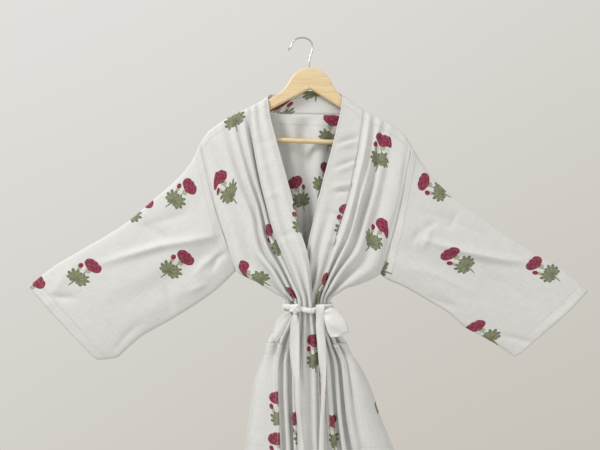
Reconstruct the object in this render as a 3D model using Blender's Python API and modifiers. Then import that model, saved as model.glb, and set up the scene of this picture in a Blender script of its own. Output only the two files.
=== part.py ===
"""A cotton kimono robe, tied at the waist, hanging on a wooden hanger.

Sizes are in millimetres here and metres in Blender. X runs to the viewer's right, Y away from the
viewer towards the wall, Z up. The origin is where the hook's crown hangs, on the wire's inner side.
Left and right are the viewer's.
"""

import math

import bmesh
import bpy
import numpy as np

MM = 0.001
CLOTH = 1.2            # one layer of cotton, thickened to a wall
BAND = 2.0             # the neck band and belt are folded double
SEAM_GAP = 0.6         # between the middles of two sewn edges: 0.3 or more is left between their walls
LIFT = 1.0             # between a patch pocket and the cloth it is sewn to

APEX = (20.0, -111.1)  # the inner corner of the hanger's arms
TILT = 2.3             # degrees that it hangs down on the right
HANGER_THICK = 12.0
HANGER_ROUNDING = 3.5
BAR_RADIUS = 5.5
BAR_HALF = 199.0       # half the bar's length, into its sockets
BAR_DROP = 115.0       # below the inner corner
WIRE_RADIUS = 1.9
STEM_DEPTH = 18.0      # how far the hook's stem goes into the wood
SOCKET_CLEARANCE = 0.3

BACK_FOLDS = (0.85, 0.95, 1.15, 0.95, 1.15, 0.9, 1.1, 0.9)      # relative widths, side to side
LEFT_FOLDS = (1.4, 0.95, 0.8, 0.85)                             # side seam to centre front
RIGHT_FOLDS = (0.85, 0.8, 0.95, 1.4)                             # centre front to side seam
BAND_FOLDS = (1.0, 1.0)
COLUMNS_PER_FOLD = 6
BAND_COLUMNS_PER_FOLD = 4
NECK_COLUMNS = 16

WAIST_Z = -588.0

# The garment from the shoulder to the hem. lx, lz and rx, rz: the left and right outer edge, which is
# the armhole down to the underarm and then the side seam. roof: how far the middle of the back rises
# over the line between them. slope: how much it follows the hanger's arms. side: the side seam's
# depth, edge: the two panels' distance from it there. back: depth of the middle of the back.
# wb, wf: the flat width of the back and of one front. calm: how little the cloth folds by the armholes.
BODY_COLUMNS = ("name", "lx", "lz", "rx", "rz", "roof", "slope", "side", "edge", "back", "wb", "wf",
                "calm")
BODY = (
    ("ridge",      -222,  -231, 242,  -234, 80, 1.0,   0.0,  0.8, 10.8, 516, 133, 1.0),
    ("shoulder",   -221,  -237, 241,  -240, 80, 1.0,   0.0,  8.4, 10.8, 516, 134, 1.0),
    ("armhole_1",  -211,  -278, 233,  -282, 79, 0.7,   0.0, 10.5, 15.0, 514, 137, 1.0),
    ("armhole_2",  -200,  -325, 224,  -329, 80, 0.4,   0.0, 10.5, 18.0, 510, 142, 1.0),
    ("armhole_3",  -185,  -382, 213,  -384, 82, 0.1,   0.0, 10.0, 18.0, 508, 152, 1.0),
    ("armhole_4",  -165,  -443, 196,  -448, 82, 0.0,   0.0,  8.5, 19.0, 508, 167, 0.95),
    ("underarm",   -143,  -509, 174,  -516, 80, 0.0,   0.0,  0.8, 19.0, 500, 180, 0.75),
    ("side_1",      -88,  -540, 120,  -543, 50, 0.0,  -2.0,  0.8, 17.0, 445, 178, 0.4),
    ("side_2",      -46,  -558,  74,  -556, 14, 0.0,  -5.0,  0.8, 14.0, 400, 172, 0.1),
    ("waist",       -19,  -576,  50,  -576,  0, 0.0,  -7.0,  0.8, 11.0, 365, 160, 0.0),
    ("below_belt",  -20,  -601,  50,  -601,  0, 0.0,  -7.0,  0.8, 10.0, 368, 158, 0.0),
    ("pocket_top",  -64,  -662,  85,  -662,  0, 0.0,  -8.0,  0.8, 11.0, 440, 180, 0.05),
    ("pocket_mid",  -86,  -708, 122,  -708,  0, 0.0,  -9.0,  0.8, 12.0, 462, 182, 0.1),
    ("pocket_low", -104,  -758, 149,  -758,  0, 0.0, -10.0,  0.8, 12.0, 485, 208, 0.35),
    ("pocket_end", -113,  -822, 171,  -822,  0, 0.0, -10.0,  0.8, 12.0, 510, 220, 0.5),
    ("skirt_1",    -122,  -905, 204,  -905,  0, 0.0, -10.0,  0.8, 12.0, 532, 238, 0.6),
    ("skirt_2",    -138, -1030, 240, -1030,  0, 0.0, -10.0,  0.8, 12.0, 552, 260, 0.65),
    ("skirt_3",    -160, -1200, 268, -1200,  0, 0.0, -10.0,  0.8, 12.0, 568, 278, 0.6),
    ("hem",        -187, -1392, 292, -1392,  0, 0.0, -10.0,  0.8, 12.0, 582, 290, 0.55),
)
# The shoulder line from the armhole, 0, to the neck, 1, as a share of the rise between them.
SHOULDER = ((0, 0), (0.17, 0.34), (0.5, 0.66), (1, 1))
# The back's own seam with the neck band, from the left shoulder to the right one.
NECK_SEAM = (
    (-114, 0.8, -151), (-112, 8.0, -154), (-98, 10.8, -161), (-50, 11.4, -164), (10, 11.8, -165),
    (72, 11.4, -166), (120, 10.8, -166), (132, 9.0, -163), (136, 0.8, -158),
)

# The neck band's two edges on each row of the garment: s is the seam with the front and e the free
# edge, each with its depth. The left band crosses over the right one above the waist.
BAND_COLUMNS = ("sx", "sz", "sy", "ex", "ez", "ey", "width")
LEFT_BAND = (
    (-114,  -151,  -1.4,  -73,  -130,  -1.4, 48),
    (-113,  -157,  -9.2,  -72,  -136,  -9.4, 50),
    (-110,  -199, -13.0,  -67,  -172, -14.0, 54),
    (-102,  -247, -16.0,  -56,  -216, -17.5, 58),
    ( -92,  -300, -19.0,  -41,  -271, -21.0, 61),
    ( -77,  -361, -22.0,  -21,  -344, -26.0, 62),
    ( -58,  -430, -27.0,   -1,  -423, -33.0, 62),
    ( -32,  -490, -33.0,   14,  -472, -41.0, 62),
    ( -11,  -537, -38.0,   21,  -522, -45.0, 62),
    (   2,  -574, -41.0,   25,  -572, -46.0, 60),
    (   2,  -601, -42.0,   28,  -601, -47.0, 62),
    (  -3,  -662, -42.0,   37,  -662, -47.0, 62),
    (  -4,  -708, -42.0,   38,  -708, -47.0, 62),
    (  -4,  -758, -42.0,   39,  -758, -47.0, 62),
    (  -3,  -822, -42.0,   41,  -822, -47.0, 62),
    (  -1,  -905, -42.0,   45,  -905, -47.0, 62),
    (   2, -1030, -42.0,   51, -1030, -47.0, 62),
    (   4, -1200, -42.0,   57, -1200, -47.0, 62),
    (   6, -1392, -42.0,   63, -1392, -47.0, 62),
)
RIGHT_BAND = (
    (136,  -158,  -1.4,   90,  -124,  -1.4, 52),
    (136,  -164,  -9.2,   90,  -130,  -9.4, 54),
    (131,  -203, -13.0,   85,  -166, -14.0, 57),
    (125,  -243, -16.0,   77,  -201, -17.0, 60),
    (115,  -289, -19.0,   65,  -249, -19.5, 62),
    (103,  -348, -21.0,   50,  -303, -21.5, 62),
    ( 83,  -413, -24.0,   31,  -381, -23.5, 62),
    ( 62,  -473, -28.0,   13,  -462, -25.0, 62),
    ( 45,  -525, -31.0,    6,  -520, -24.0, 62),
    ( 31,  -574, -34.0,    0,  -572, -22.0, 60),
    ( 32,  -601, -34.5,    1,  -601, -23.0, 62),
    ( 44,  -662, -35.0,    6,  -662, -25.0, 62),
    ( 49,  -708, -35.0,    9,  -708, -26.0, 62),
    ( 52,  -758, -35.0,   11,  -758, -27.0, 62),
    ( 56,  -822, -35.0,   14,  -822, -27.0, 62),
    ( 62,  -905, -35.0,   18,  -905, -27.0, 62),
    ( 70, -1030, -35.0,   23, -1030, -27.0, 62),
    ( 78, -1200, -35.0,   28, -1200, -27.0, 62),
    ( 84, -1392, -35.0,   34, -1392, -27.0, 62),
)

# The free edge of the band round the back of the neck, over the same places as NECK_SEAM.
NECK_EDGE = (
    (-73, 1.8, -130), (-71.5, 5.5, -123.5), (-62, 9.8, -119.5), (-34, 10.8, -115), (9, 11.2, -112),
    (54, 10.8, -114), (79, 10.2, -117), (88, 7.0, -119), (90, 1.8, -124),
)

# Sleeves from just outside the armhole to the cuff: the upper and lower edge, the depth of the middle
# and half the depth of the hollow.
SLEEVE_COLUMNS = ("tx", "tz", "bx", "bz", "y", "half")
LEFT_SLEEVE = (
    (-243, -274, -160, -528, 0.5, 11.5),
    (-273, -309, -187, -553, 1.5, 12.0),
    (-328, -357, -244, -593, 2.5, 12.0),
    (-385, -405, -299, -626, 3.5, 12.0),
    (-442, -441, -352, -656, 4.5, 12.0),
    (-495, -471, -384, -683, 5.0, 11.5),
    (-548, -503, -410, -704, 5.5, 11.0),
    (-601, -545, -449, -709, 6.0, 10.5),
)
RIGHT_SLEEVE = (
    (262, -268, 192, -531, 0.5, 11.5),
    (287, -303, 227, -546, 1.5, 12.0),
    (331, -345, 279, -576, 2.5, 12.0),
    (386, -385, 327, -605, 3.5, 12.0),
    (445, -428, 364, -637, 4.5, 12.0),
    (504, -466, 400, -656, 5.0, 11.5),
    (570, -505, 441, -680, 5.5, 11.0),
    (634, -556, 473, -702, 6.0, 10.5),
)
SLEEVE_SIDE = 11        # columns on each face of a sleeve
SLEEVE_BOX = 0.42       # how square the flat tube's edges are: small is squarer

# Soft folds that run along a sleeve from the armhole: where each starts and ends between the upper
# edge, 0, and the lower one, 1, its depth, and its width as a share of the sleeve's.
SLEEVE_FOLDS = (
    {"start": 0.62, "end": 0.42, "depth": -3.6, "width": 0.10},
    {"start": 0.72, "end": 0.58, "depth": 3.2, "width": 0.09},
    {"start": 0.86, "end": 0.80, "depth": -2.4, "width": 0.07},
    {"start": 0.30, "end": 0.20, "depth": 2.2, "width": 0.12},
)

# Patch pockets: first and last row of the garment, and first and last column's place across the front,
# from the side seam.
POCKET = {"top": "pocket_top", "foot": "skirt_1", "outer": 0.04, "inner": 0.5}

# The belt. Each ribbon is a list of its two edges, l and r, with the depth of each.
RIBBON_COLUMNS = ("lx", "ly", "lz", "rx", "ry", "rz")
TAIL_LEFT = (
    (-19, -60.0,  -603.3,  -7, -60.0,  -603.3),
    (-22, -59.5,  -620,  -3, -59.0,  -620),
    (-24, -59.0,  -660,  -3, -57.5,  -660),
    (-20, -59.5,  -706,  -3, -58.0,  -708),
    (-13, -60.5,  -734,  -1, -57.5,  -739),
    (-12, -61.0,  -775,   0, -57.0,  -775),
    ( -8, -61.5,  -827,   2, -56.5,  -827),
    ( -7, -60.5,  -880,   6, -57.0,  -880),
    ( -9, -59.5,  -960,  11, -57.5,  -960),
    (-10, -59.0, -1070,  14, -58.0, -1064),
)
TAIL_RIGHT = (
    ( 32, -44.5,  -580,  49, -41.0,  -579),
    ( 32, -48.0,  -578,  49, -45.0,  -577),
    ( 31, -53.0,  -578,  49, -50.5,  -577),
    ( 31, -56.8,  -584,  49, -54.8,  -583),
    ( 31, -57.2,  -600,  50, -55.2,  -600),
    ( 31, -57.5,  -621,  50, -56.0,  -622),
    ( 34, -57.5,  -660,  52, -55.5,  -660),
    ( 37, -57.5,  -696,  53, -55.5,  -696),
    ( 41, -57.5,  -730,  52, -55.5,  -730),
    ( 41, -58.0,  -775,  50, -55.5,  -775),
    ( 39, -58.0,  -827,  48, -55.0,  -827),
    ( 37, -58.0,  -880,  48, -55.0,  -880),
    ( 36, -57.5,  -960,  54, -55.0,  -960),
    ( 35, -57.0, -1052,  57, -55.0, -1058),
)
# A bow loop runs out from the knot along a path, turns and comes back behind it. path: x, z and half
# the ribbon's width. front: the depth of the near side, turn: the radius it turns back on, lean: how
# much deeper the ribbon's right edge is than its left.
LOOP_LEFT = {
    "path": ((-22.5, -597.5, 4.5), (-34, -611, 10), (-44, -626, 13), (-50, -642, 13), (-52, -649, 11)),
    "front": -63.2, "turn": 3.6, "lean": -3.0,
}
LOOP_RIGHT = {
    "path": ((55.4, -595, 9.5), (62.8, -606, 15), (72, -619, 20), (77, -634, 23), (79, -642, 23.5)),
    "front": -61.7, "turn": 3.8, "lean": 4.0,
}
TURN_STEPS = 4
RIBBON_ACROSS = 4

# The turn of the belt round the waist: half the height and the thickness of its cloth where it lies
# flat behind and where it is twisted in front, and how much room it leaves round the robe.
TURN = {"flat": 9.5, "twist": 6.0, "thin": 1.2, "thick": 3.2, "room": 2.2, "steps": 44, "round": 8}
KNOT = {"x": -13.0, "y": -58.3, "z": -590.0, "rx": 13.0, "ry": 6.5, "rz": 12.0}

# Half of the hanger's outline from the crown of the yoke round the arm's tip to the inner corner, as
# distances from that corner along and above the level.
YOKE = (
    (0, 46.4), (10, 45.6), (20, 42.4), (31, 35.5), (39, 27.5), (45, 18.5), (50, 9), (55.5, 0.5),
    (62, -7.5), (70, -14), (82, -22), (92, -29), (104, -40), (122, -53), (150, -68), (185, -87), (203, -98),
    (213, -106), (216, -115), (212, -125), (203, -130), (193, -128), (186, -119), (176, -105),
    (150, -89), (100, -58), (50, -29),
)

# The hook's centreline, from inside the yoke to its free end.
HOOK = (
    (18.4, -82), (18.4, -64), (18.0, -54), (19.8, -41), (24.4, -28), (24.9, -17), (21.6, -6.5),
    (13.2, -0.2), (0.5, 1.9), (-11, -1.5), (-18.6, -10), (-23.0, -20.5), (-28.6, -25),
)
HOOK_STEPS = 3


def row(columns, values):
    return dict(zip(columns, values))


BODY_ROWS = [row(BODY_COLUMNS, r) for r in BODY]
LEFT_BAND_ROWS = [row(BAND_COLUMNS, r) for r in LEFT_BAND]
RIGHT_BAND_ROWS = [row(BAND_COLUMNS, r) for r in RIGHT_BAND]
ROW_OF = {r["name"]: i for i, r in enumerate(BODY_ROWS)}


def clear_scene():
    for obj in list(bpy.data.objects):
        bpy.data.objects.remove(obj)


def material(name, colour, roughness, metallic=0.0):
    found = bpy.data.materials.new(name)
    found.use_nodes = True
    shader = found.node_tree.nodes["Principled BSDF"]
    shader.inputs["Base Color"].default_value = (*colour, 1.0)
    shader.inputs["Roughness"].default_value = roughness
    shader.inputs["Metallic"].default_value = metallic
    return found


def unit(vector):
    return vector / max(np.linalg.norm(vector), 1e-9)


def curve_through(points, steps):
    """A smooth line through the points, with that many pieces between two of them."""
    p = np.array(points, float)
    ends = np.vstack([2 * p[0] - p[1], p, 2 * p[-1] - p[-2]])
    line = []
    for a, b, c, d in zip(ends, ends[1:], ends[2:], ends[3:]):
        for k in range(steps):
            t = k / steps
            line.append(0.5 * (2 * b + (c - a) * t + (2 * a - 5 * b + 4 * c - d) * t * t
                               + (3 * b - a - 3 * c + d) * t ** 3))
    line.append(p[-1])
    return np.array(line)


def phase_of(folds, count):
    """The fold's own phase along the cloth, in turns, for folds of these relative widths."""
    ends = np.concatenate([[0], np.cumsum(folds)]) / sum(folds)
    return np.interp(np.linspace(0, 1, count), ends, np.arange(len(folds) + 1))


def gather(flat_width, length, folds, columns, weight):
    """Cloth of flat_width, gathered into folds along a line of the given length.

    Its direction swings from side to side as a sine of the distance along it, which keeps the flat
    width and leaves every fold round. weight says how much it swings at each place. Gives each
    column's place along the line, from 0 to 1, and how far it stands off it.
    """
    fine = 24 * columns
    share = np.linspace(0, 1, fine + 1)
    swing = np.sin(2 * math.pi * phase_of(folds, fine + 1)) * weight(share)
    swing = (swing[1:] + swing[:-1]) / 2
    step = flat_width / fine
    low, high = 0.0, 2.25
    for _ in range(40):
        middle = (low + high) / 2
        low, high = (middle, high) if np.cos(middle * swing).sum() * step > length else (low, middle)
    along = np.concatenate([[0], np.cumsum(np.cos(low * swing))]) * step
    off = np.concatenate([[0], np.cumsum(np.sin(low * swing))]) * step
    off -= share * off[-1]
    off -= off.mean() * np.clip(np.minimum(share, 1 - share) / 0.06, 0, 1)
    return along[::24] / along[-1], off[::24]


def even(share):
    return np.ones_like(share)


def calm_by(calm, sides):
    """Folds that are weak towards these sides: left, right or both."""
    def weight(share):
        from_side = np.minimum(share if "left" in sides else 1, 1 - share if "right" in sides else 1)
        open_part = np.clip((from_side - 0.1 - 0.25 * calm) / 0.4, 0, 1)
        return 1 - 0.85 * calm * (1 - open_part * open_part * (3 - 2 * open_part))
    return weight


def hang(line, flat_width, folds, columns, weight=even):
    """One row of cloth: gathered folds along a line in space, from left to right."""
    pieces = np.linalg.norm(np.diff(line, axis=0), axis=1)
    at = np.concatenate([[0], np.cumsum(pieces)])
    share, off = gather(flat_width, at[-1], folds, columns, weight)
    where = share * at[-1]
    points = np.stack([np.interp(where, at, line[:, k]) for k in range(3)], axis=1)
    ahead = np.stack([np.interp(where + 2, at, line[:, k]) for k in range(3)], axis=1)
    behind = np.stack([np.interp(where - 2, at, line[:, k]) for k in range(3)], axis=1)
    for i in range(len(points)):
        out = unit(np.cross([0, 0, -1], unit(ahead[i] - behind[i])))
        points[i] += out * off[i]
    return points


def corner(t):
    """A quarter turn with a square shoulder: how far along and how far across at t, from 0 to 1."""
    angle = t * math.pi / 2
    return 1 - np.cos(angle) ** 0.9, np.sin(angle) ** 0.9


def along_seam(table, share):
    """The place at this share of the way through a table of points."""
    p = np.array(table, float)
    return np.stack([np.interp(share * (len(p) - 1), np.arange(len(p)), p[:, k]) for k in range(3)], -1)


def back_line(r, steps=40):
    """The row's line across the back: over the shoulders at the top, level further down."""
    half = np.linspace(0, 1, steps + 1)
    over, deep = corner(half)
    t = np.concatenate([over / 2, 1 - over[-2::-1] / 2])
    level = np.concatenate([deep, deep[-2::-1]])
    rise = np.array(SHOULDER)
    x = np.concatenate([rise[:, 0] * 0.233, 1 - rise[::-1, 0] * 0.228])
    z = np.concatenate([rise[:, 1], rise[::-1, 1]])
    arms = np.interp(t, x, z)
    roof = arms * r["slope"] + (1 - r["slope"]) * np.sin(math.pi * t) ** 0.8
    edge = r["side"] + r["edge"]
    line = np.stack([
        r["lx"] + (r["rx"] - r["lx"]) * t,
        edge + (r["back"] - edge) * level,
        r["lz"] + (r["rz"] - r["lz"]) * t + r["roof"] * roof,
    ], axis=1)
    if r["name"] == "ridge":
        left = np.array([(r["lx"], 0.8, r["lz"]), (-204, 0.8, -204), (-168, 0.8, -177.5)])
        right = np.array([(174, 0.8, -182), (226, 0.8, -213), (r["rx"], 0.8, r["rz"])])
        line = np.vstack([left, np.array(NECK_SEAM, float), right])
    if r["name"] == "shoulder":
        line[:, 2] = r["lz"] + (r["rz"] - r["lz"]) * t + r["roof"] * np.minimum(arms, 0.88)
    return line


def front_line(r, band, left, steps=30):
    """The row's line across one front, from left to right, between the side and the band's seam."""
    share = np.linspace(0, 1, steps + 1)
    over, deep = corner(share)
    rise = np.array(SHOULDER)
    arms = np.interp(over, rise[:, 0], rise[:, 1]) * r["slope"] + over * (1 - r["slope"])
    x, z = ("lx", "lz") if left else ("rx", "rz")
    seam_x = band["sx"] + (-SEAM_GAP if left else SEAM_GAP)
    edge = r["side"] - r["edge"]
    line = np.stack([
        r[x] + (seam_x - r[x]) * over,
        edge + (band["sy"] - edge) * deep,
        r[z] + (band["sz"] - r[z]) * arms,
    ], axis=1)
    return line if left else line[::-1]


def back_rows():
    columns = COLUMNS_PER_FOLD * len(BACK_FOLDS)
    return [hang(back_line(r), r["wb"], BACK_FOLDS, columns, calm_by(r["calm"], ("left", "right")))
            for r in BODY_ROWS]


def front_rows(left):
    folds = LEFT_FOLDS if left else RIGHT_FOLDS
    bands = LEFT_BAND_ROWS if left else RIGHT_BAND_ROWS
    columns = COLUMNS_PER_FOLD * len(folds)
    sides = ("left",) if left else ("right",)
    return [hang(front_line(r, b, left), r["wf"], folds, columns, calm_by(r["calm"], sides))
            for r, b in zip(BODY_ROWS, bands)]


def band_rows(left):
    columns = BAND_COLUMNS_PER_FOLD * len(BAND_FOLDS)
    rows = []
    for b in LEFT_BAND_ROWS if left else RIGHT_BAND_ROWS:
        seam = np.array([b["sx"], b["sy"], b["sz"]], float)
        edge = np.array([b["ex"], b["ey"], b["ez"]], float)
        ends = (seam, edge) if left else (edge, seam)
        rows.append(hang(np.linspace(*ends, 12), b["width"], BAND_FOLDS, columns))
    return rows


def neck_rows():
    share = np.linspace(0, 1, NECK_COLUMNS + 1)
    seams = along_seam(NECK_SEAM, share) + np.array([0, 0.4, SEAM_GAP + 0.8])
    edges = along_seam(NECK_EDGE, share)
    return [np.linspace(seam, edge, 4) for seam, edge in zip(seams, edges)]


def armhole(left):
    """The armhole's ring, just outside the edges of the front and back: top, front, underarm, back."""
    rows = BODY_ROWS[: ROW_OF["underarm"] + 1]
    sign = -1 if left else 1
    x, z = ("lx", "lz") if left else ("rx", "rz")
    out = 0.6
    front = [(r[x] + sign * out, -r["edge"], r[z] - 0.2) for r in rows]
    back = [(r[x] + sign * out, r["edge"], r[z] - 0.2) for r in rows]
    front[0] = (front[0][0], 0.0, front[0][2])
    front[-1] = (front[-1][0] + sign * 1.0, 0.0, front[-1][2] - 2.2)
    ring = front + back[-2:0:-1]
    return resample_ring(np.array(ring, float), len(front) - 1)


def resample_ring(ring, bottom):
    """The ring with SLEEVE_SIDE columns down its front and as many up its back."""
    closed = np.vstack([ring, ring[:1]])
    sides = []
    for part in (closed[: bottom + 1], closed[bottom:]):
        at = np.concatenate([[0], np.cumsum(np.linalg.norm(np.diff(part, axis=0), axis=1))])
        where = np.linspace(0, at[-1], SLEEVE_SIDE + 1)
        near = [np.abs(at - w).argmin() for w in where]
        where = np.array([at[n] if len(at) > n and abs(at[n] - w) < 14 else w
                          for n, w in zip(near, where)])
        sides.append(np.stack([np.interp(where, at, part[:, k]) for k in range(3)], axis=1)[:-1])
    return np.vstack(sides)


def sleeve_ring(r, share):
    """A flat tube's section, with its folds. share is from 0 at the armhole to 1 at the cuff."""
    top = np.array([r["tx"], r["y"], r["tz"]], float)
    foot = np.array([r["bx"], r["y"], r["bz"]], float)
    points = []
    for side, sign in (("front", -1), ("back", 1)):
        for k in range(SLEEVE_SIDE):
            t = k / SLEEVE_SIDE if side == "front" else 1 - k / SLEEVE_SIDE
            point = top + (foot - top) * t
            depth = r["half"] * (4 * t * (1 - t)) ** SLEEVE_BOX
            for fold in SLEEVE_FOLDS:
                middle = fold["start"] + (fold["end"] - fold["start"]) * share
                near = math.exp(-(((t - middle) / fold["width"]) ** 2))
                depth -= fold["depth"] * near * math.sin(math.pi * min(1, 0.25 + share)) * 0.9
            points.append(point + np.array([0, sign * depth, 0]))
    return np.array(points)


def sleeve_rows(left):
    table = [row(SLEEVE_COLUMNS, r) for r in (LEFT_SLEEVE if left else RIGHT_SLEEVE)]
    rings = [armhole(left)]
    rings += [sleeve_ring(r, (i + 1) / len(table)) for i, r in enumerate(table)]
    return rings


def sheet_object(name, rows, thick, finish, closed_rows=False, closed_columns=False):
    """Cloth through these rows of points: a grid moved onto them, then thickened both ways."""
    down, across = len(rows), len(rows[0])
    bm = bmesh.new()
    bmesh.ops.create_grid(bm, x_segments=across - 1 + closed_columns, y_segments=down - 1 + closed_rows,
                          size=1.0)
    for vert in bm.verts:
        i = round((vert.co.x + 1) / 2 * (across - 1 + closed_columns)) % across
        j = round((vert.co.y + 1) / 2 * (down - 1 + closed_rows)) % down
        vert.co = rows[j][i] * MM
    bmesh.ops.remove_doubles(bm, verts=bm.verts, dist=0.02 * MM)
    bmesh.ops.triangulate(bm, faces=bm.faces, quad_method="FIXED")
    mesh = bpy.data.meshes.new(name)
    bm.to_mesh(mesh)
    bm.free()
    obj = link(name, mesh, finish)
    wall = obj.modifiers.new("wall", "SOLIDIFY")
    wall.thickness = thick * MM
    wall.offset = 0
    wall.use_even_offset = True
    wall.thickness_clamp = 1.5
    return obj


def link(name, data, finish):
    obj = bpy.data.objects.new(name, data)
    robe.objects.link(obj)
    data.materials.append(finish)
    return obj


def ribbon_rows(table):
    rows = []
    for r in (row(RIBBON_COLUMNS, r) for r in table):
        left = np.array([r["lx"], r["ly"], r["lz"]], float)
        right = np.array([r["rx"], r["ry"], r["rz"]], float)
        rows.append(np.linspace(left, right, RIBBON_ACROSS))
    return rows


def loop_rows(loop):
    path = np.array(loop["path"], float)
    ahead = np.gradient(path[:, :2], axis=0)
    ahead /= np.linalg.norm(ahead, axis=1)[:, None]
    stations = [(path[k], ahead[k], 0.0, 0.0) for k in range(len(path))]
    for k in range(1, TURN_STEPS):
        angle = math.pi * k / TURN_STEPS
        stations.append((path[-1], ahead[-1], math.sin(angle), (1 - math.cos(angle)) / 2))
    stations += [(path[k], ahead[k], 0.0, 1.0) for k in reversed(range(1, len(path)))]
    rows = []
    for (x, z, half), (dx, dz), out, behind in stations:
        y = loop["front"] + 2 * loop["turn"] * behind
        centre = np.array([x + dx * out * loop["turn"], y, z + dz * out * loop["turn"]])
        across = np.array([-dz, 0, dx]) * half
        across *= math.copysign(1, across[0])
        across[1] = loop["lean"]
        rows.append(np.linspace(centre - across, centre + across, RIBBON_ACROSS))
    return rows


def moved_out(points, distance):
    """The row moved out level by this distance, with its corners mitred."""
    step = np.diff(points[:, :2], axis=0)
    step /= np.linalg.norm(step, axis=1)[:, None]
    normal = np.stack([step[:, 1], -step[:, 0]], axis=1)
    before = np.vstack([normal[:1], normal])
    after = np.vstack([normal, normal[-1:]])
    mitre = before + after
    mitre /= np.maximum((mitre * before).sum(axis=1), 0.3)[:, None]
    moved = points.copy()
    moved[:, :2] += mitre * distance
    return moved


def pocket_rows(left):
    """The front's own points over the pocket, moved out by the two walls and the gap between them."""
    rows = front_rows(left)[ROW_OF[POCKET["top"]] : ROW_OF[POCKET["foot"]] + 1]
    last = len(rows[0]) - 1
    first, final = sorted(round((POCKET[k] if left else 1 - POCKET[k]) * last) for k in ("outer", "inner"))
    return [moved_out(points, CLOTH + LIFT)[first : final + 1] for points in rows]


def at_height(rows, z):
    """The places of all columns of a piece at this height."""
    columns = np.swapaxes(np.array(rows), 0, 1)
    return np.array([[np.interp(-z, -c[:, 2], c[:, k]) for k in range(2)] for c in columns])


def waist_turn(finish):
    """The belt round the gathered waist: flat cloth behind, twisted to a rope in front."""
    pieces = [back_rows(), front_rows(True), front_rows(False), band_rows(True), band_rows(False)]
    heights = np.linspace(WAIST_Z - TURN["flat"], WAIST_Z + TURN["flat"], 5)
    near = slice(ROW_OF["underarm"], ROW_OF["pocket_low"] + 1)
    bundle = np.vstack([at_height(rows[near], z) for rows in pieces for z in heights])
    rows = []
    for a in np.linspace(0, 2 * math.pi, TURN["steps"], endpoint=False):
        front = max(0.0, -math.sin(a)) ** 3
        high = TURN["flat"] + (TURN["twist"] - TURN["flat"]) * front
        thick = TURN["thin"] + (TURN["thick"] - TURN["thin"]) * front
        out = np.array([math.cos(a), math.sin(a)])
        far = bundle[(bundle @ out).argmax()]
        rows.append((far + out * (TURN["room"] + thick), out, high, thick))
    rings = []
    for place, out, high, thick in rows:
        ring = []
        for m in range(TURN["round"]):
            b = -2 * math.pi * (m + 0.5) / TURN["round"]
            ring.append([*(place + out * thick * math.cos(b)), WAIST_Z + high * math.sin(b)])
        rings.append(np.array(ring))
    obj = sheet_object("belt_waist", rings, CLOTH, finish, closed_rows=True, closed_columns=True)
    obj.modifiers.clear()
    return obj


def knot(finish):
    bm = bmesh.new()
    bmesh.ops.create_uvsphere(bm, u_segments=14, v_segments=8, radius=1)
    for vert in bm.verts:
        ridge = 1 + 0.07 * math.sin(4 * math.atan2(vert.co.z, vert.co.x) + 1)
        vert.co = (
            (KNOT["x"] + KNOT["rx"] * vert.co.x * ridge) * MM,
            (KNOT["y"] + KNOT["ry"] * vert.co.y) * MM,
            (KNOT["z"] + KNOT["rz"] * vert.co.z * ridge) * MM,
        )
    mesh = bpy.data.meshes.new("belt_knot")
    bm.to_mesh(mesh)
    bm.free()
    return link("belt_knot", mesh, finish)


def cylinder(name, radius, depth, place, turn, segments, holder):
    bm = bmesh.new()
    bmesh.ops.create_cone(bm, cap_ends=True, segments=segments, radius1=radius * MM,
                          radius2=radius * MM, depth=depth * MM)
    mesh = bpy.data.meshes.new(name)
    bm.to_mesh(mesh)
    bm.free()
    obj = bpy.data.objects.new(name, mesh)
    obj.location = [v * MM for v in place]
    obj.rotation_euler = turn
    holder.objects.link(obj)
    return obj


def hide_cutter(obj):
    obj.hide_render = True
    obj.display_type = "WIRE"


def tilted(x, z):
    """A place on the hanger, from its inner corner, as it hangs."""
    angle = math.radians(TILT)
    return (APEX[0] + x * math.cos(angle) + z * math.sin(angle),
            APEX[1] - x * math.sin(angle) + z * math.cos(angle))


def yoke(finish):
    """The hanger's flat wooden body, with sockets for its bar and its hook."""
    outline = [tilted(x, z) for x, z in YOKE + ((0, 0),)]
    outline += [tilted(-x, z) for x, z in YOKE[:0:-1]]
    bm = bmesh.new()
    face = bm.faces.new([bm.verts.new((x * MM, -HANGER_THICK / 2 * MM, z * MM)) for x, z in outline])
    grown = bmesh.ops.extrude_face_region(bm, geom=[face])["geom"]
    far = [part for part in grown if isinstance(part, bmesh.types.BMVert)]
    bmesh.ops.translate(bm, verts=far, vec=(0, HANGER_THICK * MM, 0))
    bmesh.ops.recalc_face_normals(bm, faces=bm.faces)
    mesh = bpy.data.meshes.new("hanger_yoke")
    bm.to_mesh(mesh)
    bm.free()
    obj = link("hanger_yoke", mesh, finish)
    edge = obj.modifiers.new("rounded_edges", "BEVEL")
    edge.width = HANGER_ROUNDING * MM
    edge.segments = 2
    edge.limit_method = "ANGLE"
    edge.angle_limit = math.radians(60)
    bar_x, bar_z = tilted(0, -BAR_DROP)
    side = (0, math.pi / 2 + math.radians(TILT), 0)
    socket = cylinder("bar_sockets", BAR_RADIUS + SOCKET_CLEARANCE, 2 * BAR_HALF + 1,
                      (bar_x, 0, bar_z), side, 24, cutters)
    hole = cylinder("hook_socket", WIRE_RADIUS + SOCKET_CLEARANCE, 2 * STEM_DEPTH + 1,
                    (HOOK[0][0], 0, HOOK[1][1]), (0, 0, 0), 16, cutters)
    for cutter in (socket, hole):
        hide_cutter(cutter)
        cut = obj.modifiers.new(cutter.name, "BOOLEAN")
        cut.object = cutter
        cut.operation = "DIFFERENCE"
    return obj


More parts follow.
